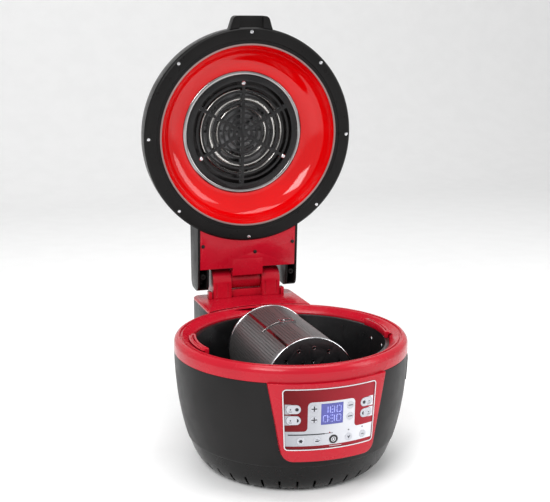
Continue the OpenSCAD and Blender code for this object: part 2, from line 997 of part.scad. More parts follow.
module lid_screws() {
    color(silver)
        open_lid() {
            for (i = [0:ring_screws - 1])
                rotate([0, 0, i * 360 / ring_screws])
                    translate([ring_screw_r, 0, lid_z - 0.3])
                        cylinder(r = 2.6, h = 0.3, $fn = 24);
            for (a = [-90, 30, 150])
                rotate([0, 0, a])
                    translate([guard_screw_r, 0, lid_z + dish_depth - 1.4])
                        cylinder(r = 3.4, h = 1.4, $fn = 24);
        }
}

dish_flange = dish_r + 3;

module lid_dish() {
    steps = 8;
    // the dish narrows along a quarter ellipse from its flange to the guard
    bowl = [for (i = [0:steps]) [
        guard_r + 6 + (dish_r - guard_r - 6) * pow(cos(90 * i / steps), 0.9),
        lid_z + 3 + (dish_depth - 1) * pow(sin(90 * i / steps), 1.1)]];
    color(gloss_red)
        open_lid()
            rotate_extrude($fn = 96)
                polygon(concat(
                    bowl,
                    [[guard_r, bowl[steps].y], [guard_r, cup_top - dish_t], [6, cup_top - dish_t],
                     [6, cup_top], [guard_r + dish_t, cup_top],
                     [guard_r + dish_t, bowl[steps].y + dish_t]],
                    [for (i = [steps:-1:0]) bowl[i] + [dish_t, (i == 0) ? 0 : dish_t]]));
}

module dish_seal() {
    color([0.75, 0.65, 0.65])
        open_lid()
            difference() {
                ring(dish_r, dish_flange, lid_z + 0.3, 3.2);
                translate([0, 0, lid_z + 3])
                    ring(dish_r - 1, dish_r + dish_t, 0, 2);
            }
}

module guard_trim() {
    color(silver)
        open_lid()
            ring(guard_r - 1, guard_r + 6, lid_z + dish_depth, 1.9);
}

module fan_guard() {
    rings = 9;
    hub_r = 8;
    bar = 3.6;
    band_in = guard_r - 11;   // the solid band round the rings
    pitch = (band_in + bar - hub_r) / rings;
    color([0.03, 0.03, 0.03])
        open_lid()
            translate([0, 0, lid_z + dish_depth])
                linear_extrude(1.9)
                    union() {
                        circle(r = hub_r, $fn = 48);
                        for (i = [1:rings - 1])
                            difference() {
                                circle(r = hub_r + i * pitch, $fn = 96);
                                circle(r = hub_r + i * pitch - bar, $fn = 96);
                            }
                        difference() {
                            circle(r = guard_r - 1, $fn = 96);
                            circle(r = band_in, $fn = 96);
                        }
                        for (a = [90, 30, -30])
                            rotate(a)
                                square([2 * guard_r - 4, 5], center = true);
                    }
}

coil_r = 3.2;
coil_turns = [42, 56, 70];
coil_z = lid_z + dish_depth + 9;

module heating_element() {
    leads = 12;
    color([0.35, 0.33, 0.32])
        open_lid() {
            for (r = coil_turns)
                translate([0, 0, coil_z])
                    rotate_extrude($fn = 96)
                        translate([r, 0])
                            circle(r = coil_r, $fn = 24);
            // the straps that tie the turns together and reach the chamber's wall
            for (a = [90, 210, 330])
                rotate([0, 0, a])
                    translate([coil_turns[0] - 2, -3, coil_z - 0.8])
                        cube([guard_r + 2 - coil_turns[0], 6, 1.6]);
            for (a = [-leads, leads])
                rotate([0, 0, a + 90])
                    translate([coil_turns[2], 0, coil_z])
                        cylinder(r = 2, h = cup_top - dish_t - coil_z, $fn = 24);
        }
}

motor_z = cup_top + 10.5;
fan_shaft_r = 4;

module fan_motor() {
    color(silver)
        open_lid()
            difference() {
                union() {
                    translate([0, 0, motor_z - 1.5])
                        cylinder(r = 54, h = 1.5, $fn = 64);
                    translate([0, 0, motor_z])
                        cylinder(r = 26, h = 16, $fn = 64);
                    for (a = [45:90:315])
                        rotate([0, 0, a])
                            translate([50, 0, cup_top])
                                cylinder(r = 3, h = motor_z - cup_top - 1, $fn = 24);
                }
                translate([0, 0, motor_z - 3])
                    cylinder(r = fan_shaft_r + turn_gap, h = 13);
            }
}

impeller_z = coil_z + 6;
fan_r = 64;

module fan_impeller() {
    blades = 8;
    color(steel)
        open_lid() {
            translate([0, 0, impeller_z - 2])
                cylinder(r = fan_shaft_r, h = motor_z + 8 - impeller_z);
            translate([0, 0, impeller_z])
                cylinder(r = 9, h = 12);
            translate([0, 0, impeller_z + 10])
                cylinder(r = fan_r, h = 1.2, $fn = 64);
            for (i = [0:blades - 1])
                rotate([0, 0, i * 360 / blades])
                    translate([8, -0.6, impeller_z])
                        cube([fan_r - 10, 1.2, 10.5]);
        }
}

module cooling_fan() {
    blades = 10;
    fan_z = cup_top + 2;
    color(white)
        open_lid()
            difference() {
                union() {
                    translate([0, 0, fan_z])
                        cylinder(r = 10, h = 6);
                    for (i = [0:blades - 1])
                        rotate([0, 0, i * 360 / blades])
                            translate([9, 0, fan_z + 3])
                                rotate([35, 0, 0])
                                    translate([0, -3, -0.6])
                                        cube([31, 6, 1.2]);
                }
                translate([0, 0, fan_z - 1])
                    cylinder(r = fan_shaft_r, h = 10);
            }
}

// ------------------------------------------------------------ arm and hinge

arm_z = lid_z + 2.6;          // the edge of the arm's shell, lid closed
arm_t_rear = 46;
arm_t_front = 60;
swing_r = knuckle_r + 16.5;   // the space round the hinge that the arm leaves free
arm_wall = 3;
cover_t = 2.5;
cover_half_w = deck_half_w - 4;
cover_in = 0.4;               // how deep the cover sits in the arm
cover_end = hinge_y - 27;     // where the cover's face meets the space round the hinge
cover_ledge = 1.5;            // the shoulder that the cover rests on
cover_fit = 0.05;
cover_edge = 4.5;             // from the cover's edge to its outer screws
cover_screws = [
    [-cover_half_w + cover_edge, shell_r + 7], [cover_half_w - cover_edge, shell_r + 7],
    [12, shell_r + 21]
];

// The cover's plate, grown by g, from depth z0 below the arm's edge.
module cover_block(g, z0) {
    translate([-cover_half_w - g, 120, arm_z + z0])
        cube([2 * (cover_half_w + g), cover_end + g - 120, cover_in + cover_t + g - z0]);
}

cheek_in = post_x + post_w + 1;

module arm_outline(g) {
    y0 = 90;
    y1 = hinge_y + arm_rear - g;
    polygon(rounded(
        [[y0, arm_z + g], [y1, arm_z + g], [y1, arm_z + arm_t_rear - g], [y0, arm_z + arm_t_front - g]],
        [0, 14 - g, 14 - g, 0]));
}

// The arm's side view, extruded along X to the half width w.
module arm_block(w, g) {
    translate([-w, 0, 0])
        rotate([90, 0, 90])
            linear_extrude(2 * w)
                arm_outline(g);
}

module lid_arm() {
    boss_y = hinge_y - 14;
    color(black)
        open_lid() {
            difference() {
                arm_block(deck_half_w, 0);
                // the hollow behind the cover, and the two cheeks
                translate([-cover_half_w + cover_ledge, 80, arm_z - 1])
                    cube([2 * (cover_half_w - cover_ledge), hinge_y - swing_r - 6 - 80, arm_t_rear - 3]);
                cover_block(cover_fit, -1);
                mirrored()
                    translate([cheek_in + arm_wall, hinge_y - swing_r - 8, arm_z - 1])
                        cube([deck_half_w - cheek_in - 2 * arm_wall, swing_r + arm_rear + 4,
                            arm_t_rear - 12]);
                dome_solid(-0.02);
                cylinder(r = shell_r + 0.52, h = dome_z + e, $fn = 128);
                // room for the towers, the stop posts and the barrel's arm
                x_rod(swing_r, -cheek_in, cheek_in, hinge_y, hinge_z);
                translate([-cheek_in, hinge_y, arm_z - 1])
                    cube([2 * cheek_in, big, big]);
                translate([-tab_half_w, hinge_y - swing_r - tab_root, arm_z - 1])
                    cube([2 * tab_half_w, big, hinge_z - arm_z + barrel_r + 1]);
            }
            // screw bosses inside the cheeks
            mirrored()
                difference() {
                    translate([(cheek_in + deck_half_w) / 2, boss_y, arm_z + 1.5])
                        cylinder(r = 4.5, h = arm_t_rear - 14, $fn = 32);
                    translate([(cheek_in + deck_half_w) / 2, boss_y, arm_z])
                        cylinder(r = 1.6, h = 12, $fn = 24);
                }
        }
}

module arm_cover() {
    color(red)
        open_lid()
            difference() {
                cover_block(0, cover_in);
                x_rod(swing_r, -cheek_in, cheek_in, hinge_y, hinge_z);
                cylinder(r = shell_r + 0.52, h = big, $fn = 128);
                translate([-tab_half_w, hinge_y - swing_r - tab_root, 0])
                    cube([2 * tab_half_w, big, big]);
                for (p = cover_screws)
                    translate([p.x, p.y, 0])
                        cylinder(r = 1.5, h = big, $fn = 24);
            }
}

module arm_screws() {
    color([0.05, 0.05, 0.05])
        open_lid()
            for (p = cover_screws)
                translate([p.x, p.y, arm_z - 0.8]) {
                    cylinder(r = 3, h = 1.2, $fn = 24);
                    cylinder(r = 1.5, h = 8, $fn = 24);
                }
}

barrel_r = 15.5;
tab_half_w = tower_in - 0.8;
tab_root = 6;                 // how far the barrel's arm reaches into the lid's arm

module hinge_barrel() {
    tab_y = hinge_y - swing_r - tab_root;
    color(red)
        open_lid()
            difference() {
                union() {
                    x_rod(barrel_r, -tab_half_w, tab_half_w, hinge_y, hinge_z);
                    translate([-tab_half_w, tab_y, arm_z + 0.4])
                        cube([2 * tab_half_w, hinge_y - tab_y - 12,
                            hinge_z - arm_z - 0.4 + barrel_r]);
                }
                x_rod(pin_r + turn_gap, -50, 50, hinge_y, hinge_z);
            }
}

handle_out = 18;
handle_half_tip = 29;
handle_half_base = 35;
handle_t = 17;

module lid_handle() {
    color(black)
        open_lid()
            difference() {
                translate([0, 0, lid_z + 1.5])
                    linear_extrude(handle_t)
                        polygon(rounded(
                            [[-handle_half_base - 12, -150], [handle_half_base + 12, -150],
                             [handle_half_base, -shell_r + 1], [handle_half_tip, -shell_r - handle_out],
                             [-handle_half_tip, -shell_r - handle_out],
                             [-handle_half_base, -shell_r + 1]],
                            [0, 0, 6, 8, 8, 6]));
                dome_solid(-0.02);
                cylinder(r = shell_r + 0.52, h = dome_z + e, $fn = 128);
                // the finger scoop under the handle
                x_rod(32, -20, 20, -shell_r - 12, lid_z - 22);
            }
}

// ------------------------------------------------------------------- build

base_tray();
feet();
body_shell();
rear_housing();
rim_ring();
hinge_deck();
hinge_towers();
stop_posts();
hinge_pin();
panel_bezel();
panel_trim();
panel_overlay();
display_window();
control_board();
heat_shield();
drive_motor();
power_inlet();
side_vent();
drive_coupling();
pot();
pot_grips();
pot_rivets();
front_bracket();
rear_bush();
basket_shell();
basket_front_end();
basket_rear_end();
basket_rims();
basket_spindle();
basket_door();
basket_latch();
lid_dome();
lid_ring();
lid_screws();
lid_dish();
dish_seal();
guard_trim();
fan_guard();
heating_element();
fan_motor();
lid_arm();
arm_cover();
arm_screws();
hinge_barrel();
lid_handle();
fan_impeller();
cooling_fan();
program_key(-program_angle, upper_key_z);  // key_program_1
program_key(-program_angle, lower_key_z);  // key_program_2
program_key(program_angle, upper_key_z);  // key_program_3
program_key(program_angle, lower_key_z);  // key_program_4
round_key(plus_angle, upper_key_z, key_r, silver);  // key_time_up
round_key(plus_angle, lower_key_z, key_r, silver);  // key_temp_up
round_key(minus_angle, upper_key_z, key_r, silver);  // key_time_down
round_key(minus_angle, lower_key_z, key_r, silver);  // key_temp_down
round_key(row_middle - 2 * row_pitch, row_key_z, key_r, silver);  // key_preset_1
round_key(row_middle - row_pitch, row_key_z, key_r, silver);  // key_preset_2
round_key(row_middle, row_key_z, power_key_r, black);  // key_power
round_key(row_middle + row_pitch, row_key_z, key_r, silver);  // key_preset_3
round_key(row_middle + 2 * row_pitch, row_key_z, key_r, silver);  // key_preset_4
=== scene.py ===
"""The looks of the lidded fryer: smooth housings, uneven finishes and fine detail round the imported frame."""
import json
import math

import bmesh
import bpy
from mathutils import Matrix, Vector

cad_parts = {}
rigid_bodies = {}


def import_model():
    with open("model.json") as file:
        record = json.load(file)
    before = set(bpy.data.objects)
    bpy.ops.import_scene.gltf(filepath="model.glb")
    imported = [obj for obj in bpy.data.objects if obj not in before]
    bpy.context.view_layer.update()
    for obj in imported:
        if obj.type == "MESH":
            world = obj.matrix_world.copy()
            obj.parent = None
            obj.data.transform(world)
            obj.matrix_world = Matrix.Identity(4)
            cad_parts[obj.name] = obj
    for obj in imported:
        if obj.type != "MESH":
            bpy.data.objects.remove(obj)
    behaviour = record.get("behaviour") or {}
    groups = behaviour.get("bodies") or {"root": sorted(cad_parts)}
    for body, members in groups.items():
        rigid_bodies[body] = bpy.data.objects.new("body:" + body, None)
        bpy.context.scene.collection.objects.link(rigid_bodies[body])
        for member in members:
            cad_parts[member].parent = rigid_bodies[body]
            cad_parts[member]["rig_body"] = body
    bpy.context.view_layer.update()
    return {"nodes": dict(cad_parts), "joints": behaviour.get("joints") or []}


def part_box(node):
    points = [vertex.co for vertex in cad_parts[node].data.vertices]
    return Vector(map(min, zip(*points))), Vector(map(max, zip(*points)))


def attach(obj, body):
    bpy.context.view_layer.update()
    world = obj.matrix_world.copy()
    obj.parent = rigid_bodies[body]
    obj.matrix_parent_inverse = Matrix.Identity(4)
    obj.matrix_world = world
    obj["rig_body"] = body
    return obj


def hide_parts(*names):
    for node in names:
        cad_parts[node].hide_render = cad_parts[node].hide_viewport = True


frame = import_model()

MM = 0.001
JOINTS = {joint["name"]: joint for joint in frame["joints"]}


# ------------------------------------------------------------------ materials

def shader(name):
    """A new node material and a helper that adds nodes to it."""
    material = bpy.data.materials.new(name)
    material.use_nodes = True
    tree = material.node_tree
    return material, tree, tree.nodes["Principled BSDF"]


def add_node(tree, kind, inputs=None, **settings):
    """Adds a node, with its settings and its input values."""
    node = tree.nodes.new(kind)
    for key, value in settings.items():
        setattr(node, key, value)
    for key, value in (inputs or {}).items():
        node.inputs[key].default_value = value
    return node


def noise(tree, scale, detail=3.0, roughness=0.5):
    """Noise in the object's own metres."""
    place = add_node(tree, "ShaderNodeTexCoord")
    grain = add_node(tree, "ShaderNodeTexNoise", {"Scale": scale, "Detail": detail, "Roughness": roughness})
    tree.links.new(place.outputs["Object"], grain.inputs["Vector"])
    return grain


def remap(tree, source, low, high, start=0.35, end=0.65):
    """Turns a 0 to 1 value into one between low and high."""
    node = add_node(tree, "ShaderNodeMapRange", {"From Min": start, "From Max": end, "To Min": low, "To Max": high})
    tree.links.new(source, node.inputs["Value"])
    return node.outputs["Result"]


def mix_colours(tree, factor, low, high):
    """A colour between two, by a 0 to 1 value."""
    ramp = add_node(tree, "ShaderNodeValToRGB")
    ramp.color_ramp.elements[0].position = 0.38
    ramp.color_ramp.elements[1].position = 0.62
    ramp.color_ramp.elements[0].color = (*low, 1)
    ramp.color_ramp.elements[1].color = (*high, 1)
    tree.links.new(factor, ramp.inputs["Fac"])
    return ramp.outputs["Color"]


def shade(colour, amount):
    """The colour made lighter, above 1, or darker, below 1."""
    return tuple(min(1.0, channel * amount) for channel in colour)


def bump(tree, bsdf, height, strength, distance):
    """A fine relief on the surface, from a height value."""
    node = add_node(tree, "ShaderNodeBump", {"Strength": strength, "Distance": distance})
    tree.links.new(height, node.inputs["Height"])
    tree.links.new(node.outputs["Normal"], bsdf.inputs["Normal"])


def finish_material(name, colour, rough, metal=0.0, spread=0.12, coat=0.0, grain=900.0, relief=0.15,
                    depth=0.00005, cloud=14.0, rough_spread=0.05, specular=0.5):
    """A moulded, painted or metal finish with uneven colour, uneven gloss and a fine surface grain."""
    material, tree, bsdf = shader(name)
    bsdf.inputs["Metallic"].default_value = metal
    bsdf.inputs["Coat Weight"].default_value = coat
    bsdf.inputs["Coat Roughness"].default_value = 0.08
    bsdf.inputs["Specular IOR Level"].default_value = specular
    patches = noise(tree, cloud).outputs["Fac"]
    tone = mix_colours(tree, patches, shade(colour, 1 - spread), shade(colour, 1 + spread))
    tree.links.new(tone, bsdf.inputs["Base Color"])
    smudges = noise(tree, cloud * 3.1, 5.0).outputs["Fac"]
    tree.links.new(remap(tree, smudges, rough - rough_spread, rough + rough_spread), bsdf.inputs["Roughness"])
    bump(tree, bsdf, noise(tree, grain, 2.0).outputs["Fac"], relief, depth)
    return material


def brushed_material(name, colour, rough, stretch, metal=1.0, relief=0.25, depth=0.00004):
    """Metal with fine lines along one direction; stretch scales the object's axes."""
    material, tree, bsdf = shader(name)
    bsdf.inputs["Metallic"].default_value = metal
    place = add_node(tree, "ShaderNodeTexCoord")
    mapping = add_node(tree, "ShaderNodeMapping", {"Scale": stretch})
    lines = add_node(tree, "ShaderNodeTexNoise", {"Scale": 1.0, "Detail": 4.0, "Roughness": 0.6})
    tree.links.new(place.outputs["Object"], mapping.inputs["Vector"])
    tree.links.new(mapping.outputs["Vector"], lines.inputs["Vector"])
    tone = mix_colours(tree, lines.outputs["Fac"], shade(colour, 0.82), shade(colour, 1.12))
    tree.links.new(tone, bsdf.inputs["Base Color"])
    tree.links.new(remap(tree, lines.outputs["Fac"], rough - 0.06, rough + 0.08), bsdf.inputs["Roughness"])
    bump(tree, bsdf, lines.outputs["Fac"], relief, depth)
    return material


def speckled_material(name, colour, speck, rough, scale=420.0):
    """A non-stick coating: dark, with fine paler specks and a faint orange-peel surface."""
    material, tree, bsdf = shader(name)
    place = add_node(tree, "ShaderNodeTexCoord")
    cells = add_node(tree, "ShaderNodeTexVoronoi", {"Scale": scale})
    tree.links.new(place.outputs["Object"], cells.inputs["Vector"])
    specks = remap(tree, cells.outputs["Distance"], 1.0, 0.0, 0.08, 0.2)
    mix = add_node(tree, "ShaderNodeMix", data_type="RGBA")
    tree.links.new(specks, mix.inputs["Factor"])
    mix.inputs[6].default_value = (*colour, 1)
    mix.inputs[7].default_value = (*speck, 1)
    tree.links.new(mix.outputs[2], bsdf.inputs["Base Color"])
    smudges = noise(tree, 40.0, 5.0).outputs["Fac"]
    tree.links.new(remap(tree, smudges, rough - 0.05, rough + 0.08), bsdf.inputs["Roughness"])
    bump(tree, bsdf, noise(tree, 700.0, 2.0).outputs["Fac"], 0.2, 0.00006)
    return material


def glow_material(name, colour, glow, strength):
    """A lit display field with a slight unevenness in its backlight."""
    material, tree, bsdf = shader(name)
    bsdf.inputs["Roughness"].default_value = 0.12
    bsdf.inputs["Coat Weight"].default_value = 1.0
    bsdf.inputs["Emission Strength"].default_value = strength
    patches = noise(tree, 60.0).outputs["Fac"]
    tree.links.new(mix_colours(tree, patches, shade(colour, 0.9), shade(colour, 1.1)), bsdf.inputs["Base Color"])
    tree.links.new(mix_colours(tree, patches, shade(glow, 0.85), shade(glow, 1.1)), bsdf.inputs["Emission Color"])
    return material


def painted_light_gradient_material(name, left, right, rough, coat=0.4, specular=0.3):
    """A print with painted light and shade: its colour runs from left to right across the panel, as light falls across
    its curve, with a fine unevenness.
    """
    material, tree, bsdf = shader(name)
    bsdf.inputs["Coat Weight"].default_value = coat
    bsdf.inputs["Specular IOR Level"].default_value = specular
    place = add_node(tree, "ShaderNodeTexCoord")
    parts = add_node(tree, "ShaderNodeSeparateXYZ")
    tree.links.new(place.outputs["Object"], parts.inputs["Vector"])
    # the run from left to right is painted light and shade laid over the print's own colour; the noise is real
    # unevenness
    across = remap(tree, parts.outputs["X"], 0.0, 1.0, -0.065, 0.065)
    mottle = remap(tree, noise(tree, 30.0).outputs["Fac"], -0.04, 0.04)
    total = add_node(tree, "ShaderNodeMath", operation="ADD")
    tree.links.new(across, total.inputs[0])
    tree.links.new(mottle, total.inputs[1])
    ramp = add_node(tree, "ShaderNodeValToRGB")
    ramp.color_ramp.elements[0].color = (*left, 1)
    ramp.color_ramp.elements[1].color = (*right, 1)
    tree.links.new(total.outputs["Value"], ramp.inputs["Fac"])
    tree.links.new(ramp.outputs["Color"], bsdf.inputs["Base Color"])
    tree.links.new(remap(tree, noise(tree, 50.0, 5.0).outputs["Fac"], rough - 0.04, rough + 0.04),
                   bsdf.inputs["Roughness"])
    bump(tree, bsdf, noise(tree, 900.0, 2.0).outputs["Fac"], 0.08, 0.00003)
    return material


BLACK = (0.009, 0.0085, 0.0085)
RED = (0.42, 0.004, 0.016)
MATERIALS = {
    "body": finish_material("black_bowl", shade(BLACK, 1.1), 0.40, specular=0.15, rough_spread=0.04),
    "black": finish_material("black_trim", shade(BLACK, 0.8), 0.32, specular=0.14),
    "tray": finish_material("black_tray", shade(BLACK, 0.7), 0.28, specular=0.2),
    "red": finish_material("red_plastic", RED, 0.26, coat=0.10, spread=0.05, specular=0.27),
    # the red plastic made darker for the hinge barrel: painted shade where it sits between the towers under the lid
    "barrel_red_painted_shade": finish_material("barrel_red_painted_shade", (0.33, 0.0035, 0.013), 0.28, coat=0.08, spread=0.06, specular=0.27),
    # the dark red foil: its own print colour, with painted shade at the left and painted light at the right
    "dark_red": painted_light_gradient_material("dark_red_print_and_painted_light", (0.11, 0.0, 0.002), (0.34, 0.018, 0.03), 0.2, coat=0.05,
                                  specular=0.14),
    "dish": finish_material("red_dish", (0.60, 0.0, 0.001), 0.08, coat=0.28, spread=0.04, grain=240, relief=0.03,
                            rough_spread=0.02, specular=0.27),
    "rubber": finish_material("foot_rubber", (0.012, 0.012, 0.012), 0.75, grain=1600, relief=0.35, specular=0.2),
    "seal": finish_material("seal_silicone", (0.22, 0.14, 0.135), 0.35, spread=0.06),
    "trim": finish_material("silver_trim", (0.62, 0.62, 0.64), 0.24, metal=0.85, spread=0.06),
    # the pale field: its own print colour, with painted shade at the left and painted light at the right
    "field": painted_light_gradient_material("panel_field", (0.30, 0.31, 0.34), (0.74, 0.75, 0.79), 0.25, coat=0.1),
    "key": finish_material("key_silver", (0.46, 0.47, 0.51), 0.28, metal=0.3, spread=0.05, coat=0.1),
    "key_black": finish_material("key_black", (0.008, 0.008, 0.009), 0.2, coat=0.4, specular=0.3),
    "ink": finish_material("print_ink", (0.015, 0.015, 0.02), 0.4, specular=0.3),
    "pale_ink": finish_material("pale_ink", (0.65, 0.66, 0.70), 0.4),
    "board": finish_material("circuit_board", (0.02, 0.12, 0.05), 0.3, coat=0.4),
    "nonstick": speckled_material("non_stick", (0.006, 0.006, 0.0065), (0.05, 0.05, 0.05), 0.32),
    "end_cap": speckled_material("basket_end_coating", (0.008, 0.008, 0.009), (0.05, 0.05, 0.05), 0.36),
    "drum": brushed_material("drum_sheet", (0.19, 0.18, 0.182), 0.44, (500.0, 500.0, 500.0), metal=0.85, relief=0.05),
    "drum_edge": brushed_material("drum_edge", (0.32, 0.29, 0.29), 0.14, (900.0, 30.0, 900.0), relief=0.05),
    "chrome": brushed_material("bright_steel", (0.66, 0.66, 0.68), 0.14, (300.0, 300.0, 300.0), relief=0.04),
    # the bright steel made darker for the guard's trim ring: a painted dark reflection of the grille and dish round it
    "shaded_chrome": brushed_material("guard_trim_steel_painted_dark", (0.36, 0.35, 0.35), 0.10, (14.0, 14.0, 14.0), relief=0.03),
    "steel": brushed_material("sheet_steel", (0.45, 0.45, 0.47), 0.32, (40.0, 900.0, 900.0)),
    "coil": brushed_material("heating_tube", (0.75, 0.73, 0.70), 0.18, (60.0, 60.0, 60.0), relief=0.15, depth=0.0002),
    "guard": finish_material("guard_enamel", (0.008, 0.008, 0.0085), 0.28, grain=1400, specular=0.3),
    "chamber": finish_material("chamber_steel", (0.030, 0.027, 0.027), 0.3, metal=0.6, spread=0.3),
    "aluminium": brushed_material("fan_aluminium", (0.20, 0.20, 0.205), 0.3, (50.0, 50.0, 50.0), relief=0.3,
                                  depth=0.0003),
    "motor": finish_material("motor_can", (0.45, 0.45, 0.47), 0.35, metal=0.9),
    "lcd": glow_material("display_field", (0.03, 0.035, 0.22), (0.05, 0.055, 0.45), 0.22),
    "lcd_digit": glow_material("display_digit", (0.26, 0.28, 0.66), (0.35, 0.38, 0.95), 0.38),
}


# ---------------------------------------------------------------- mesh making

def place_piece(name, vertices, faces, material, body, replaces=(), sharp=35.0, matrix=None):
    """Makes a mesh object, shades it, gives it its material and lets it ride on its body."""
    mesh = bpy.data.meshes.new(name)
    mesh.from_pydata([tuple(v) for v in vertices], [], faces)
    if matrix is not None:
        mesh.transform(matrix)
    return finish_piece(name, mesh, material, body, replaces, sharp)


def finish_piece(name, mesh, material, body, replaces=(), sharp=35.0):
    """Cleans a mesh and makes it a piece with its material and body, and hides the CAD parts it replaces."""
    work = bmesh.new()
    work.from_mesh(mesh)
    bmesh.ops.remove_doubles(work, verts=work.verts, dist=1e-7)
    bmesh.ops.recalc_face_normals(work, faces=work.faces)
    work.to_mesh(mesh)
    work.free()
    mesh.shade_smooth()
    mesh.set_sharp_from_angle(angle=math.radians(sharp))
    mesh.materials.clear()
    mesh.materials.append(MATERIALS[material])
    piece = bpy.data.objects.new(name, mesh)
    bpy.context.scene.collection.objects.link(piece)
    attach(piece, body)
    if replaces:
        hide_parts(*replaces)
    return piece


def rounded_path(points, radii, steps=5, closed=True):
    """The 2-D points with their corners rounded; a radius of 0 keeps a corner."""
    out = []
    count = len(points)
    for i, here in enumerate(points):
        radius = radii[i]
        here = Vector(here)
        if radius <= 0 or (not closed and i in (0, count - 1)):
            out.append(tuple(here))
            continue
        back = (Vector(points[i - 1]) - here).normalized()
        ahead = (Vector(points[(i + 1) % count]) - here).normalized()
        half = back.angle(ahead) / 2
        if half > math.radians(89):
            out.append(tuple(here))
            continue
        centre = here + (back + ahead).normalized() * (radius / math.sin(half))
        start = here + back * (radius / math.tan(half)) - centre
        end = here + ahead * (radius / math.tan(half)) - centre
        first = math.atan2(start.y, start.x)
        turn = (math.atan2(end.y, end.x) - first + 3 * math.pi) % (2 * math.pi) - math.pi
        for k in range(steps + 1):
            angle = first + turn * k / steps
            out.append((centre.x + radius * math.cos(angle), centre.y + radius * math.sin(angle)))
    return out


def lathe_mesh(profile, steps=144, start=0.0, sweep=360.0):
    """Turns a closed (radius, height) outline round Z. Points on the axis are joined by remove_doubles."""
    full = abs(sweep - 360.0) < 1e-6
    rings = steps if full else steps + 1
    vertices, faces = [], []
    for i in range(rings):
        angle = math.radians(start + sweep * i / steps)
        c, s = math.cos(angle), math.sin(angle)
        vertices += [(r * c, r * s, z) for r, z in profile]
    n = len(profile)
    for i in range(steps):
        a, b = i * n, ((i + 1) % rings) * n
        for k in range(n):
            m = (k + 1) % n
            quad = (a + k, b + k, b + m, a + m)
            on_axis = profile[k][0] < 1e-9 and profile[m][0] < 1e-9
            if not on_axis:
                faces.append(quad)
    if not full:
        faces.append(tuple(range(n)))
        faces.append(tuple(range((rings - 1) * n, rings * n))[::-1])
    return vertices, faces


def lathe(name, profile, material, body, replaces=(), steps=144, sharp=35.0, matrix=None):
    """A piece turned from a closed outline."""
    vertices, faces = lathe_mesh(profile, steps)
    return place_piece(name, vertices, faces, material, body, replaces, sharp, matrix)


def prism_mesh(outline, low, high):
    """A closed outline in X-Y raised from low to high."""
    n = len(outline)
    vertices = [(x, y, low) for x, y in outline] + [(x, y, high) for x, y in outline]
    faces = [tuple(range(n))[::-1], tuple(range(n, 2 * n))]
    faces += [(i, (i + 1) % n, n + (i + 1) % n, n + i) for i in range(n)]
    return vertices, faces


def box_mesh(low, high):
    """A block between two corners."""
    return prism_mesh([(low[0], low[1]), (high[0], low[1]), (high[0], high[1]), (low[0], high[1])], low[2], high[2])


def join_meshes(parts):
    """Several (vertices, faces) in one."""
    vertices, faces = [], []
    for part_vertices, part_faces in parts:
        base = len(vertices)
        vertices += part_vertices
        faces += [tuple(base + i for i in face) for face in part_faces]
    return vertices, faces


def turned(degrees, axis="Z"):
    """A rotation about an axis through the origin."""
    return Matrix.Rotation(math.radians(degrees), 4, axis)


def along_y(x, y, z):
    """Carries a lathe's Z axis onto +Y, from a point."""
    return Matrix.Translation((x, y, z)) @ turned(-90, "X")


def oval(x, y, half_w, half_h, count):
    """Points round an ellipse."""
    return [(x + half_w * math.cos(2 * math.pi * k / count), y + half_h * math.sin(2 * math.pi * k / count))
            for k in range(count)]


def moved(part, matrix):
    """The (vertices, faces) carried by a matrix."""
    return [tuple(matrix @ Vector(v)) for v in part[0]], part[1]


def applied(piece):
    """The piece with its modifiers made real."""
    bpy.context.view_layer.update()
    evaluated = piece.evaluated_get(bpy.context.evaluated_depsgraph_get())
    mesh = bpy.data.meshes.new_from_object(evaluated)
    piece.modifiers.clear()
    piece.data = mesh
    return piece


def cut_with(piece, cutters, sharp=35.0):
    """Takes the cutters, each (vertices, faces), out of the piece."""
    mesh = bpy.data.meshes.new("cutter")
    vertices, faces = join_meshes(cutters)
    mesh.from_pydata(vertices, [], faces)
    work = bmesh.new()
    work.from_mesh(mesh)
    bmesh.ops.recalc_face_normals(work, faces=work.faces)
    work.to_mesh(mesh)
    work.free()
    cutter = bpy.data.objects.new("cutter", mesh)
    bpy.context.scene.collection.objects.link(cutter)
    boolean = piece.modifiers.new("cut", "BOOLEAN")
    boolean.operation = "DIFFERENCE"
    boolean.solver = "EXACT"
    boolean.object = cutter
    applied(piece)
    bpy.data.objects.remove(cutter)
    bpy.data.meshes.remove(mesh)
    piece.data.shade_smooth()
    piece.data.set_sharp_from_angle(angle=math.radians(sharp))
    return piece


def soften(node, material, width=0.8 * MM, segments=3, angle=32.0):
    """The CAD node again with its sharp edges rounded, as a moulding has."""
    source = frame["nodes"][node]
    work = bmesh.new()
    work.from_mesh(source.data)
    bmesh.ops.remove_doubles(work, verts=work.verts, dist=1e-6)
    bmesh.ops.dissolve_limit(work, angle_limit=math.radians(1.5), verts=work.verts, edges=work.edges)
    mesh = bpy.data.meshes.new(node + "_soft")
    work.to_mesh(mesh)
    work.free()
    piece = finish_piece(node + "_soft", mesh, material, source["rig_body"], [node])
    bevel = piece.modifiers.new("round", "BEVEL")
    bevel.width = width
    bevel.segments = segments
    bevel.limit_method = "ANGLE"
    bevel.angle_limit = math.radians(angle)
    bevel.use_clamp_overlap = True
    applied(piece)
    piece.data.shade_smooth()
    piece.data.set_sharp_from_angle(angle=math.radians(40))
    return piece


def keep_node(node, material):
    """A CAD node that stays as it is and gets its material."""
    piece = frame["nodes"][node]
    piece.data.materials.clear()
    piece.data.materials.append(MATERIALS[material])


# -------------------------------------------------------------------- camera

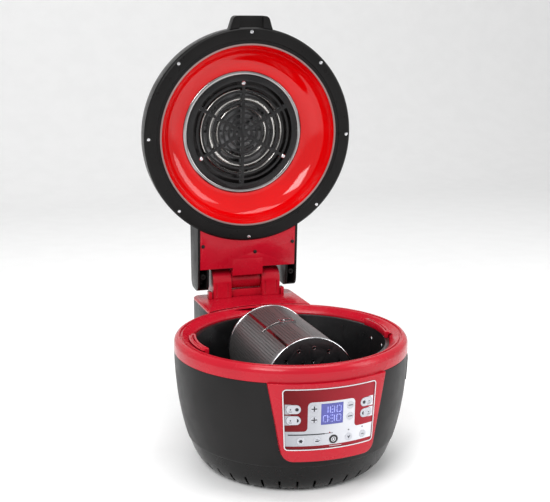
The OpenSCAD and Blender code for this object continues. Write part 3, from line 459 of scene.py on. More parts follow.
AZIMUTH = math.radians(-18.1)
ELEVATION = math.radians(11.5)
DISTANCE = 1.6
SENSOR = 36.0
FOCAL = 67.9
aim = Vector((-0.0028, 0.0670, 0.3084))
towards = Vector((math.sin(AZIMUTH) * math.cos(ELEVATION), -math.cos(AZIMUTH) * math.cos(ELEVATION),
                  math.sin(ELEVATION)))
camera_data = bpy.data.cameras.new("camera")
camera_data.lens = FOCAL
camera_data.sensor_width = SENSOR
camera = bpy.data.objects.new("camera", camera_data)
camera.location = aim + towards * DISTANCE
camera.rotation_euler = (-towards).to_track_quat("-Z", "Y").to_euler()
bpy.context.scene.collection.objects.link(camera)
bpy.context.scene.camera = camera


# ------------------------------------------------------------ light and floor

def area_light(name, place, target, size, power):
    """A soft rectangular light that faces the target."""
    light = bpy.data.lights.new(name, "AREA")
    light.shape = "RECTANGLE"
    light.size, light.size_y = size
    light.energy = power
    lamp = bpy.data.objects.new(name, light)
    lamp.location = place
    lamp.rotation_euler = (Vector(target) - Vector(place)).to_track_quat("-Z", "Y").to_euler()
    bpy.context.scene.collection.objects.link(lamp)


def studio():
    """Plain soft light and a pale floor that curves up behind the object."""
    bpy.context.scene.view_settings.view_transform = "Standard"
    world = bpy.data.worlds.new("studio")
    bpy.context.scene.world = world
    world.use_nodes = True
    world.node_tree.nodes["Background"].inputs["Color"].default_value = (1, 1, 1, 1)
    world.node_tree.nodes["Background"].inputs["Strength"].default_value = 0.6
    area_light("key", (-1.5, -1.6, 1.9), (0, 0, 0.25), (1.2, 1.2), 50)
    area_light("fill", (1.9, -1.2, 1.1), (0, 0, 0.25), (0.9, 1.6), 20)
    area_light("top", (0.1, 0.1, 2.3), (0, 0, 0.2), (1.4, 1.4), 26)
    size, curve, back, high = 6.0, 1.2, 2.5, 3.5
    outline = [(-size, 0.0)]
    steps = 16
    for i in range(steps + 1):
        angle = math.pi / 2 * i / steps
        outline.append((back + curve * math.sin(angle), curve * (1 - math.cos(angle))))
    outline.append((back + curve, high))
    vertices = [(x, y, z) for y, z in outline for x in (-size, size)]
    faces = [(2 * i, 2 * i + 1, 2 * i + 3, 2 * i + 2) for i in range(len(outline) - 1)]
    mesh = bpy.data.meshes.new("floor")
    mesh.from_pydata(vertices, [], faces)
    mesh.shade_smooth()
    mesh.materials.append(finish_material("pale_floor", (0.95, 0.95, 0.95), 0.55, spread=0.01, relief=0.02))
    floor = bpy.data.objects.new("floor", mesh)
    bpy.context.scene.collection.objects.link(floor)


studio()

# ------------------------------------------------------- sizes from the frame

SHELL_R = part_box("rim_ring")[1].x                # outer radius of the bowl's rim
SHELL_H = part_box("body_shell")[1].z              # top edge of the bowl
SEAM_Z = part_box("body_shell")[0].z               # seam between bowl and tray
RIM_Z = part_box("rim_ring")[1].z                  # top of the red rim
POT_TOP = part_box("pot")[1].z
POT_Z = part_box("pot")[0].z
BASKET_LOW, BASKET_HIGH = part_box("basket_rims")
BASKET_Z = (BASKET_LOW.z + BASKET_HIGH.z) / 2
FOOT_R = 118 * MM                                # radius the bowl curves in to at the table
MOUTH_R = 149 * MM                               # opening in the rim
WALL = 2.5 * MM

LID_JOINT = JOINTS["lid_hinge"]
LID_ANGLE = math.radians(LID_JOINT["range_deg"][1])
HINGE = Vector(LID_JOINT["pos_m"])
OPEN_LID = Matrix.Translation(HINGE) @ Matrix.Rotation(-LID_ANGLE, 4, "X") @ Matrix.Translation(-HINGE)
LID_Z = RIM_Z + 0.4 * MM                         # the closed lid's face
RING_H = 10 * MM
DOME_H = 94 * MM
DISH_R = 147 * MM
DISH_DEPTH = 42 * MM
GUARD_R = 97 * MM
CUP_TOP = LID_Z + DISH_DEPTH + 29 * MM


def bowl_r(z):
    """The bowl's outer radius at height z."""
    return FOOT_R + (SHELL_R - FOOT_R) * (1 - (1 - min(z / SHELL_H, 1)) ** 1.8) ** (1 / 2.2)


def ramp(low, high, steps):
    """Evenly spaced values from low to high."""
    return [low + (high - low) * i / steps for i in range(steps + 1)]


def ring_cutters(count, radius, half_width, length, low, high, offset=0.0):
    """Blocks set radially round Z, for slots."""
    cutters = []
    for i in range(count):
        turn = Matrix.Rotation(2 * math.pi * (i + offset) / count, 4, "Z")
        cutters.append(moved(box_mesh((radius, -half_width, low), (radius + length, half_width, high)), turn))
    return cutters


# ------------------------------------------------------------------- housing

def panel_prism(half_bottom, half_top, low, high, corners, back=-0.14, front=-0.22):
    """A block through the panel, wider at the top, with rounded corners."""
    outline = rounded_path([(-half_bottom, low), (half_bottom, low), (half_top, high), (-half_top, high)], corners)
    turn = Matrix(((1, 0, 0, 0), (0, 0, 1, 0), (0, 1, 0, 0), (0, 0, 0, 1)))
    return moved(prism_mesh(outline, front, back), turn)


def make_bowl():
    """The bowl, cut for the panel, the side vent and the drive's shaft."""
    lip = 1.2 * MM
    outer = [(bowl_r(z), z) for z in ramp(SEAM_Z + lip, SHELL_H - 0.4 * MM, 40)]
    inner = [(r - WALL, z) for r, z in outer]
    outline = [(bowl_r(SEAM_Z) - lip, SEAM_Z + 0.1 * MM), (bowl_r(SEAM_Z) - 0.3 * lip, SEAM_Z + 0.35 * MM)]
    outline += outer + inner[::-1] + [(inner[0][0], SEAM_Z + 0.1 * MM)]
    bowl = lathe("bowl_skin", outline, "body", "housing", ["body_shell"], steps=192)
    vent_low, vent_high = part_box("side_vent")
    vent = (vent_low + vent_high) / 2
    side = math.atan2(vent.x, -vent.y)
    half = 11 * MM
    window = moved(box_mesh((-half, -0.2, vent_low.z), (half, -0.13, vent_high.z)), Matrix.Rotation(side, 4, "Z"))
    hole = moved(lathe_mesh([(0, 0), (6 * MM, 0), (6 * MM, 0.1), (0, 0.1)], 32),
                 along_y(0, 0.1, BASKET_Z))
    cut_with(bowl, [panel_prism(65.4 * MM, 86.4 * MM, 61.6 * MM, 0.18, [16 * MM, 16 * MM, 0, 0]), window, hole])


FOOT_PLACE_R = 98 * MM                           # circle that the feet stand on
FOOT_ANGLES = (33, 147, 213, 327)                # degrees from the front
TRAY_SLOTS = 36


def make_tray():
    """The slotted tray under the bowl, on its ring."""
    floor_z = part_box("feet")[1].z
    outer = [(bowl_r(z) - 1.2 * MM * min(1, (z / SEAM_Z) ** 2), z) for z in ramp(floor_z + 1 * MM, SEAM_Z, 24)]
    inner = [(r - WALL, max(z, floor_z + WALL)) for r, z in outer]
    skirt_r, skirt_out = 84 * MM, 87 * MM
    outline = [(0, floor_z), (skirt_r, floor_z), (skirt_r, 0.0), (skirt_out, 0.0),
               (skirt_out, floor_z), (outer[0][0] - 3 * MM, floor_z)]
    outline += outer + inner[::-1] + [(0, floor_z + WALL)]
    tray = lathe("tray_skin", outline, "tray", "housing", ["base_tray"], steps=192)
    cut_with(tray, ring_cutters(TRAY_SLOTS, 112 * MM, 1.7 * MM, 0.05, floor_z - 1 * MM, floor_z + 16 * MM, 0.5))


def make_rim():
    """The red rim with its groove, and the notch that the spindle's tongue lifts through."""
    r, z, m = SHELL_R, RIM_Z, MOUTH_R
    ledge = POT_TOP - 1.5 * MM
    points = [(r, SHELL_H), (r, z - 9 * MM), (r - 1 * MM, z - 5 * MM), (r - 3.4 * MM, z - 1.6 * MM),
              (r - 6.2 * MM, z), (r - 8.6 * MM, z), (r - 9.2 * MM, z - 2.4 * MM), (r - 11.8 * MM, z - 2.4 * MM),
              (r - 12.4 * MM, z), (r - 15 * MM, z - 0.8 * MM), (m + 3 * MM, z - 6 * MM),
              (m + 0.6 * MM, z - 8 * MM), (m, z - 9.5 * MM), (m, ledge), (m - 4.5 * MM, ledge),
              (m - 4.5 * MM, ledge - 3.5 * MM), (m + 1 * MM, ledge - 3.5 * MM), (m + 4 * MM, SHELL_H)]
    radii = [0.5, 5, 4, 3, 1.6, 0.5, 0.5, 0.5, 0.5, 3, 3, 2, 1, 0, 0.5, 0.5, 0, 0]
    outline = rounded_path(points, [x * MM for x in radii], 4)
    rim = lathe("rim_skin", outline, "red", "housing", ["rim_ring"], steps=224, sharp=50)
    cut_with(rim, [box_mesh((-4 * MM, 0.13, ledge - 5 * MM), (4 * MM, m - 0.05 * MM, ledge + 0.1 * MM))], 50)


def make_feet():
    """Rubber feet under the tray."""
    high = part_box("feet")[1]
    outline = rounded_path([(0, 0), (7.6 * MM, 0), (8.6 * MM, high.z), (0, high.z)], [0, 1.2 * MM, 0.4 * MM, 0])
    for i, degrees in enumerate(FOOT_ANGLES):
        angle = math.radians(degrees - 90)
        spot = Matrix.Translation((FOOT_PLACE_R * math.cos(angle), FOOT_PLACE_R * math.sin(angle), 0))
        lathe(f"foot_{i + 1}", outline, "rubber", "housing", ["feet"], 48, 35, spot)


make_bowl()
make_tray()
make_rim()
make_feet()
for part, look, edge in (("hinge_deck", "red", 0.8), ("hinge_towers", "red", 1.0), ("stop_posts", "red", 0.8),
                         ("rear_housing", "black", 0.6), ("power_inlet", "black", 0.5), ("side_vent", "black", 0.4)):
    soften(part, look, edge * MM)
for part, look in (("hinge_pin", "chrome"), ("heat_shield", "steel"), ("drive_motor", "motor"),
                   ("drive_coupling", "steel"), ("control_board", "board")):
    keep_node(part, look)

# --------------------------------------------------------------------- panel

PANEL_SLOPE = 0.055
PANEL_R = SHELL_R + 3 * MM                       # the panel face's radius at the bowl's top edge


STRIP_W = 3 * MM                                 # widest flat strip of a print on the curved panel


def panel_point(across, z, out):
    """A point on the panel: across in metres along the face, its height, and how far out it stands."""
    radius = PANEL_R - (SHELL_H - z) * PANEL_SLOPE
    angle = across / radius
    return ((radius + out) * math.sin(angle), -(radius + out) * math.cos(angle), z)


def decal(name, outline, out, thick, material, body="housing"):
    """A thin print that follows the panel's curve. Its outline is cut into narrow strips across."""
    work = bmesh.new()
    loop = [work.verts.new((x, z, 0)) for x, z in outline]
    work.faces.new(loop)
    low = min(x for x, _ in outline)
    high = max(x for x, _ in outline)
    count = int((high - low) / STRIP_W)
    for i in range(1, count + 1):
        x = low + (high - low) * i / (count + 1)
        bmesh.ops.bisect_plane(work, geom=work.verts[:] + work.edges[:] + work.faces[:], dist=1e-7,
                               plane_co=(x, 0, 0), plane_no=(1, 0, 0))
    front = [v for v in work.verts]
    made = bmesh.ops.extrude_face_region(work, geom=work.faces[:])
    back = [v for v in made["geom"] if isinstance(v, bmesh.types.BMVert)]
    for v in back:
        v.co = Vector(panel_point(v.co.x, v.co.y, out - thick))
    for v in front:
        v.co = Vector(panel_point(v.co.x, v.co.y, out))
    mesh = bpy.data.meshes.new(name)
    work.to_mesh(mesh)
    work.free()
    return finish_piece(name, mesh, material, body, (), 30)


def disc(x, z, radius, steps):
    """A round outline."""
    return oval(x, z, radius, radius, steps)


def bar(x, z, half_w, half_h, corner=0.0):
    """A rectangle round a point."""
    return rounded_path([(x - half_w, z - half_h), (x + half_w, z - half_h), (x + half_w, z + half_h),
                         (x - half_w, z + half_h)], [corner] * 4)


PRINT = 0.12 * MM                                # thickness of a print


def at_angle(degrees, z):
    """The distance across the panel at an angle from its middle."""
    return math.radians(degrees) * (PANEL_R - (SHELL_H - z) * PANEL_SLOPE)


def make_field():
    """The pale field: full width at the bottom, a narrower column in the middle."""
    low, step_z, high = 84.5 * MM, 106 * MM, 148 * MM
    wide_low, wide_high, column = 64.3 * MM, 65.6 * MM, 34.5 * MM
    points = [(-wide_low, low), (wide_low, low), (wide_high, step_z), (column, step_z), (column, high),
              (-column, high), (-column, step_z), (-wide_high, step_z)]
    decal("panel_field", rounded_path(points, [0, 0, 0, 5 * MM, 6 * MM, 6 * MM, 5 * MM, 0]), PRINT, PRINT, "field")


keep_node("panel_overlay", "dark_red")
soften("panel_bezel", "red", 1.2 * MM)
keep_node("panel_trim", "trim")
keep_node("display_window", "lcd")
make_field()


def make_keys():
    """Each key is its CAD cap with rounded edges, and prints ride on it."""
    for node in [n for n in frame["nodes"] if n.startswith("key_")]:
        soften(node, "key_black" if node == "key_power" else "key", 0.35 * MM, 3, 40)


KEY_OUT = 0.7 * MM + PRINT                       # how far a print on a key stands out
UPPER_Z, LOWER_Z, ROW_Z = 138.5 * MM, 122.5 * MM, 92 * MM
ROW_MIDDLE, ROW_PITCH = 0.9, 7.6                 # degrees
PLUS, MINUS, PROGRAM = -8.4, 8.8, 17.6           # degrees
PROGRAM_KEYS = ((-1, UPPER_Z), (-1, LOWER_Z), (1, UPPER_Z), (1, LOWER_Z))


def plus_outline(x, z, half, thick):
    """A plus sign."""
    return [(x - half, z - thick), (x - thick, z - thick), (x - thick, z - half), (x + thick, z - half),
            (x + thick, z - thick), (x + half, z - thick), (x + half, z + thick), (x + thick, z + thick),
            (x + thick, z + half), (x - thick, z + half), (x - thick, z + thick), (x - half, z + thick)]


def ring_outline(name, x, z, outer, inner, material, body, out=KEY_OUT, steps=28):
    """A ring print, in two halves."""
    for half, first in (("a", 0.0), ("b", math.pi)):
        arc = [first + math.pi * i / steps for i in range(steps + 1)]
        outline = [(x + outer * math.cos(t), z + outer * math.sin(t)) for t in arc]
        outline += [(x + inner * math.cos(t), z + inner * math.sin(t)) for t in arc[::-1]]
        decal(f"{name}_{half}", outline, out, PRINT, material, body)


def key_print(name, outline, key, material="ink"):
    """A print that rides on a key's cap."""
    decal(f"print_{name}", outline, KEY_OUT, PRINT, material, f"key_{key}_cap")


def make_key_prints():
    """A plain sign on every key."""
    for row, z in (("time", UPPER_Z), ("temp", LOWER_Z)):
        key_print(f"{row}_up", plus_outline(at_angle(PLUS, z), z, 3.9 * MM, 0.75 * MM), f"{row}_up")
        key_print(f"{row}_down", bar(at_angle(MINUS, z), z, 3.4 * MM, 0.65 * MM), f"{row}_down")
    # program keys: a dot over a bar on the outer side and a round or half-round sign on the inner side
    for i, (side, z) in enumerate(PROGRAM_KEYS):
        key = f"program_{i + 1}"
        x = at_angle(PROGRAM * side, z)
        key_print(f"{key}_dot", disc(x + side * 4.2 * MM, z, 1.0 * MM, 20), key)
        inner = x - side * 4.6 * MM
        if z == UPPER_Z:
            sign = disc(inner, z, 2.5 * MM, 28)
        else:
            sign = [(inner - side * 2.6 * MM * math.sin(math.pi * k / 16), z + 2.7 * MM * math.cos(math.pi * k / 16))
                    for k in range(17)]
        key_print(f"{key}_shape", sign, key)
        key_print(f"{key}_bar", bar(x + side * 4.2 * MM, z - 3.2 * MM, 2.4 * MM, 0.35 * MM), key)
    # the row of presets, with the power key in the middle
    flower, pan, power, arrow, dash = [at_angle(ROW_MIDDLE + step * ROW_PITCH, ROW_Z) for step in (-2, -1, 0, 1, 2)]
    petals = []
    for k in range(48):
        t = 2 * math.pi * k / 48
        reach = (2.4 + 0.7 * math.cos(6 * t)) * MM
        petals.append((flower + reach * math.cos(t), ROW_Z + reach * math.sin(t)))
    key_print("preset_1", petals, "preset_1")
    key_print("preset_2_pan", bar(pan - 0.6 * MM, ROW_Z - 0.9 * MM, 2.4 * MM, 0.9 * MM, 0.6 * MM), "preset_2")
    key_print("preset_2_grip", bar(pan + 2.9 * MM, ROW_Z - 0.2 * MM, 1.0 * MM, 0.3 * MM), "preset_2")
    key_print("preset_2_lid", bar(pan - 0.6 * MM, ROW_Z + 1.5 * MM, 1.4 * MM, 0.3 * MM), "preset_2")
    head = [(arrow - 2.4 * MM, ROW_Z + 2.0 * MM), (arrow, ROW_Z - 2.6 * MM), (arrow + 2.4 * MM, ROW_Z + 2.0 * MM),
            (arrow + 0.8 * MM, ROW_Z + 1.4 * MM), (arrow, ROW_Z - 0.2 * MM), (arrow - 0.8 * MM, ROW_Z + 1.4 * MM)]
    key_print("preset_3", head, "preset_3")
    key_print("preset_4", bar(dash, ROW_Z, 2.2 * MM, 0.5 * MM, 0.3 * MM), "preset_4")
    ring_outline("print_power_ring", power, ROW_Z, 3.4 * MM, 2.6 * MM, "pale_ink", "key_power_cap")
    key_print("power_dot", disc(power, ROW_Z, 1.3 * MM, 20), "power", "pale_ink")


def make_panel_prints():
    """The pale field's line, its lamps and the marks over the keys."""
    top = 2 * PRINT
    line_z = 101.2 * MM
    middle = (at_angle(-19.5, line_z) + at_angle(-4, line_z)) / 2
    decal("field_line", bar(middle, line_z, 25.5 * MM, 0.8 * MM), top, PRINT, "ink")
    decal("field_line_tail", bar(at_angle(-2.8, line_z), line_z + 0.2 * MM, 10 * MM, 0.35 * MM), top, PRINT, "ink")
    for i, (angle, z) in enumerate(((8.4, 102.4), (15.8, 102.8), (-1.0, 102.4))):
        decal(f"field_lamp_{i + 1}", disc(at_angle(angle, z * MM), z * MM, 1.0 * MM, 20), top, PRINT,
              "dark_red" if i == 2 else "ink")
    strip_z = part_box("panel_overlay")[0].z + 2.3 * MM
    decal("foil_mark", bar(6 * MM, strip_z, 9 * MM, 0.35 * MM), PRINT, PRINT, "field")


def make_program_tabs():
    """The pale tabs that join the program keys to the field's outer edges."""
    reach = 66.2 * MM
    half, hole, centre = 7.05 * MM, 6.85 * MM, 3.6 * MM
    for i, (side, z) in enumerate(PROGRAM_KEYS):
        middle = at_angle(PROGRAM * side, z) + side * centre
        edge = side * reach
        arc = [(middle + side * hole * math.cos(t), z + hole * math.sin(t))
               for t in [-math.pi / 2 + math.pi * k / 16 for k in range(17)]]
        outline = [(edge, z - half), (middle, z - half)] + arc + [(middle, z + half), (edge, z + half)]
        decal(f"program_tab_{i + 1}", outline, PRINT, PRINT, "field")


SEGMENTS = {  # seven-segment digits: which of top, top right, low right, bottom, low left, top left, middle are lit
    "0": "1111110", "1": "0110000", "3": "1111001", "8": "1111111",
}


def make_digit(name, text, x, z, half_w, half_h, out):
    """One seven-segment digit, each lit segment a bar."""
    t = 0.55 * MM
    gap = 0.25 * MM
    places = [(x, z + half_h, half_w - gap, t), (x + half_w, z + half_h / 2, t, half_h / 2 - gap),
              (x + half_w, z - half_h / 2, t, half_h / 2 - gap), (x, z - half_h, half_w - gap, t),
              (x - half_w, z - half_h / 2, t, half_h / 2 - gap), (x - half_w, z + half_h / 2, t, half_h / 2 - gap),
              (x, z, half_w - gap, t)]
    for i, (px, pz, w, h) in enumerate(places):
        if SEGMENTS[text][i] == "1":
            decal(f"{name}_{i + 1}", bar(px, pz, w, h), out, PRINT, "lcd_digit")


def make_display():
    """Two rows of digits and the colon between hours and minutes."""
    low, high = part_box("display_window")
    width, height = high.x - low.x, high.z - low.z
    out = 0.3 * MM
    for row, text in enumerate(("180", "030")):
        z = high.z - height * (0.29 + 0.43 * row)
        for i, digit in enumerate(text):
            x = width * (-0.30 + 0.30 * i)
            make_digit(f"digit_{row + 1}_{i + 1}", digit, x, z, width * 0.095, height * 0.15, out)
    z = high.z - height * 0.72
    for i, step in enumerate((-1, 1)):
        dot = disc(-width * 0.15, z + step * height * 0.07, 0.6 * MM, 16)
        decal(f"digit_colon_{i + 1}", dot, out, PRINT, "lcd_digit")


make_keys()
make_key_prints()
make_panel_prints()
make_program_tabs()
make_display()


# ----------------------------------------------------------------------- pot

def quarter(cx, cz, radius, first, steps=8):
    """A quarter arc, anticlockwise from the angle first, in degrees."""
    return [(cx + radius * math.cos(math.radians(first + 90 * i / steps)),
             cz + radius * math.sin(math.radians(first + 90 * i / steps))) for i in range(steps + 1)]


POT_R = 143 * MM
POT_WALL = 1.2 * MM
POT_CORNER = 14 * MM
RIVET_Z = 168 * MM
BUSH_R = 9 * MM


def make_pot():
    """The lift-out pot, with the hole for the rear bush."""
    inner_r = POT_R - POT_WALL
    corner_in = POT_CORNER - POT_WALL
    ledge = POT_TOP - 1.5 * MM
    lip_r = MOUTH_R - 1 * MM
    outline = [(0, POT_Z)] + quarter(POT_R - POT_CORNER, POT_Z + POT_CORNER, POT_CORNER, -90)
    outline += [(POT_R, ledge), (lip_r - 0.5 * MM, ledge), (lip_r, ledge + 0.5 * MM), (lip_r, POT_TOP - 0.5 * MM),
                (lip_r - 0.5 * MM, POT_TOP), (inner_r + 1.2 * MM, POT_TOP), (inner_r + 0.3 * MM, POT_TOP - 0.4 * MM),
                (inner_r, POT_TOP - 1.4 * MM)]
    outline += quarter(inner_r - corner_in, POT_Z + POT_WALL + corner_in, corner_in, -90)[::-1]
    outline += [(0, POT_Z + POT_WALL)]
    pot = lathe("pot_skin", outline, "nonstick", "pot_body", ["pot"], steps=192)
    hole = moved(lathe_mesh([(0, 0), (BUSH_R, 0), (BUSH_R, 0.1), (0, 0.1)], 48),
                 along_y(0, 0.1, BASKET_Z))
    cut_with(pot, [hole])


def make_rivets():
    """Domed rivet heads on the pot's wall under the grips."""
    radius, height = 3.6 * MM, 1.5 * MM
    dome = [(0, 0)] + [(radius, 0)] + [(radius * math.cos(t), 0.2 * MM + (height - 0.2 * MM) * math.sin(t))
                                       for t in [math.pi / 2 * i / 6 for i in range(7)]]
    dome[-1] = (0, height)
    wall = POT_R - POT_WALL + 0.1 * MM
    for i, degrees in enumerate((-98, -82, 82, 98)):
        turn = turned(degrees) @ Matrix.Translation((0, -wall, RIVET_Z))
        lathe(f"rivet_{i + 1}", dome, "chrome", "pot_body", ["pot_rivets"], 32, 35,
              turn @ turned(-90, "X"))


def make_grips():
    """The grips, each with a finger slot along its top between two curved walls."""
    grips = soften("pot_grips", "red", 0.7 * MM, 3, 50)
    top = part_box("pot_grips")[1].z
    slot = [(MOUTH_R - 4.2 * MM, top - 6 * MM), (MOUTH_R - 1.6 * MM, top - 6 * MM),
            (MOUTH_R - 1.6 * MM, top + 1 * MM), (MOUTH_R - 4.2 * MM, top + 1 * MM)]
    cut_with(grips, [lathe_mesh(slot, 32, side - 13.5, 27.0) for side in (0.0, 180.0)], 40)


make_pot()
make_rivets()
make_grips()
soften("front_bracket", "steel", 0.4 * MM)
soften("rear_bush", "steel", 0.3 * MM)

# -------------------------------------------------------------------- basket

BASKET_R = 67 * MM
BASKET_WALL = 1 * MM
FRONT_Y, REAR_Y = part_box("basket_shell")[0].y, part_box("basket_shell")[1].y
DOOR_FROM, DOOR_TO, DOOR_GAP = 2.0, 80.0, 0.5    # degrees from the drum's top, and the gap at each edge
HOLE_PITCH, HOLE_R = 4.2 * MM, 1.1 * MM
SEAM_FROM, SEAM_SWEEP = -33.0, 3.6               # degrees
KEEPER_FROM, KEEPER_SWEEP = -38, 25              # degrees
DOOR_FRONT, DOOR_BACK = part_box("basket_rims")[0].y + 9 * MM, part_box("basket_rims")[1].y - 9 * MM
DOOR_PIN = Vector(JOINTS["door_hinge"]["pos_m"])


def drum_point(degrees, y, r):
    """A point on the drum: degrees from the top towards +X."""
    angle = math.radians(degrees)
    return (r * math.sin(angle), y, BASKET_Z + r * math.cos(angle))


def perforated(name, spans, lines, holed, material, body, replaces):
    """A curved sheet of cells between spans of degrees and lines along Y. A holed cell has an octagonal hole."""
    vertices, faces = [], []
    index = {}

    def vertex(key, degrees, y, r):
        if key not in index:
            index[key] = len(vertices)
            vertices.append(drum_point(degrees, y, r))
        return index[key]

    layers = (BASKET_R - BASKET_WALL, BASKET_R)
    for i in range(len(spans) - 1):
        for j in range(len(lines) - 1):
            kind = holed(i, j)
            if kind is None:
                continue
            a0, a1, y0, y1 = spans[i], spans[i + 1], lines[j], lines[j + 1]
            rings = []
            for layer, r in enumerate(layers):
                corners = [vertex((layer, i + di, j + dj), spans[i + di], lines[j + dj], r)
                           for di, dj in ((0, 0), (1, 0), (1, 1), (0, 1))]
                if not kind:
                    faces.append(tuple(corners if layer else corners[::-1]))
                    continue
                ring = []
                for k in range(8):
                    angle = math.radians(-157.5 + 45 * k)
                    degrees = (a0 + a1) / 2 + math.degrees(HOLE_R * math.cos(angle) / BASKET_R)
                    y = (y0 + y1) / 2 + HOLE_R * math.sin(angle)
                    ring.append(vertex((layer, i, j, k), degrees, y, r))
                rings.append(ring)
                for c in range(4):
                    near, past = ring[2 * c], ring[(2 * c + 1) % 8]
                    after = ring[(2 * c + 2) % 8]
                    tri = (corners[c], past, near)
                    quad = (corners[c], corners[(c + 1) % 4], after, past)
                    faces.append(tri if layer else tri[::-1])
                    faces.append(quad if layer else quad[::-1])
            if kind:
                for k in range(8):
                    m = (k + 1) % 8
                    faces.append((rings[0][k], rings[0][m], rings[1][m], rings[1][k]))
            for di, dj, first, second in ((0, -1, 0, 1), (1, 0, 1, 2), (0, 1, 2, 3), (-1, 0, 3, 0)):
                ni, nj = i + di, j + dj
                outside = not (0 <= ni < len(spans) - 1 and 0 <= nj < len(lines) - 1) or holed(ni, nj) is None
                if outside:
                    order = ((0, 0), (1, 0), (1, 1), (0, 1))
                    ends = [order[first], order[second]]
                    quad = [index[(0, i + ends[0][0], j + ends[0][1])], index[(0, i + ends[1][0], j + ends[1][1])],
                            index[(1, i + ends[1][0], j + ends[1][1])], index[(1, i + ends[0][0], j + ends[0][1])]]
                    faces.append(tuple(quad))
    return place_piece(name, vertices, faces, material, body, replaces, 30)


def split(low, high, pitch):
    """Even steps of about the pitch between two values."""
    return ramp(low, high, max(1, round((high - low) / pitch)))


def make_drum():
    """The perforated drum and its door."""
    pitch_deg = math.degrees(HOLE_PITCH / BASKET_R)
    margin = math.degrees(5.5 * MM / BASKET_R)
    start, end = DOOR_TO + DOOR_GAP, DOOR_FROM - DOOR_GAP + 360
    spans = [start] + split(start + margin, end - margin * 1.5, pitch_deg) + [end]
    door_spans = split(DOOR_FROM - DOOR_GAP + 360, DOOR_TO + DOOR_GAP + 360, pitch_deg)
    all_spans = spans + door_spans[1:]
    y_gap = 0.5 * MM
    lines = [FRONT_Y, DOOR_FRONT - y_gap] + split(DOOR_FRONT + 3 * MM, DOOR_BACK - 3 * MM, HOLE_PITCH)
    lines += [DOOR_BACK + y_gap, REAR_Y]
    last_i, last_j = len(spans) - 1, len(lines) - 2

    def shell_cell(i, j):
        over_door = i >= last_i
        if over_door:
            return None if 0 < j < last_j else False
        return 0 < i < last_i - 1 and 1 < j < last_j - 1

    perforated("drum_skin", all_spans, lines, shell_cell, "drum", "basket", ["basket_shell"])
    door_margin = math.degrees(4 * MM / BASKET_R)
    spans = [DOOR_FROM] + split(DOOR_FROM + door_margin, DOOR_TO - door_margin, pitch_deg) + [DOOR_TO]
    lines = [DOOR_FRONT] + split(DOOR_FRONT + 4 * MM, DOOR_BACK - 4 * MM, HOLE_PITCH) + [DOOR_BACK]

    def door_cell(i, j):
        return 0 < i < len(spans) - 2 and 0 < j < len(lines) - 2

    perforated("door_skin", spans, lines, door_cell, "drum", "door", ["basket_door"])


def y_cylinder(x, z, y0, y1, radius, steps=32, edge=0.2 * MM):
    """A rod along Y with rounded ends."""
    outline = rounded_path([(0, y0), (radius, y0), (radius, y1), (0, y1)], [0, edge, edge, 0], 3)
    return moved(lathe_mesh(outline, steps), along_y(x, 0, z))


def tube(radius, bore, y0, y1, x, z, steps=32):
    """A short tube along Y."""
    outline = [(bore, y0), (radius, y0), (radius, y1), (bore, y1)]
    return moved(lathe_mesh(outline, steps), along_y(x, 0, z))


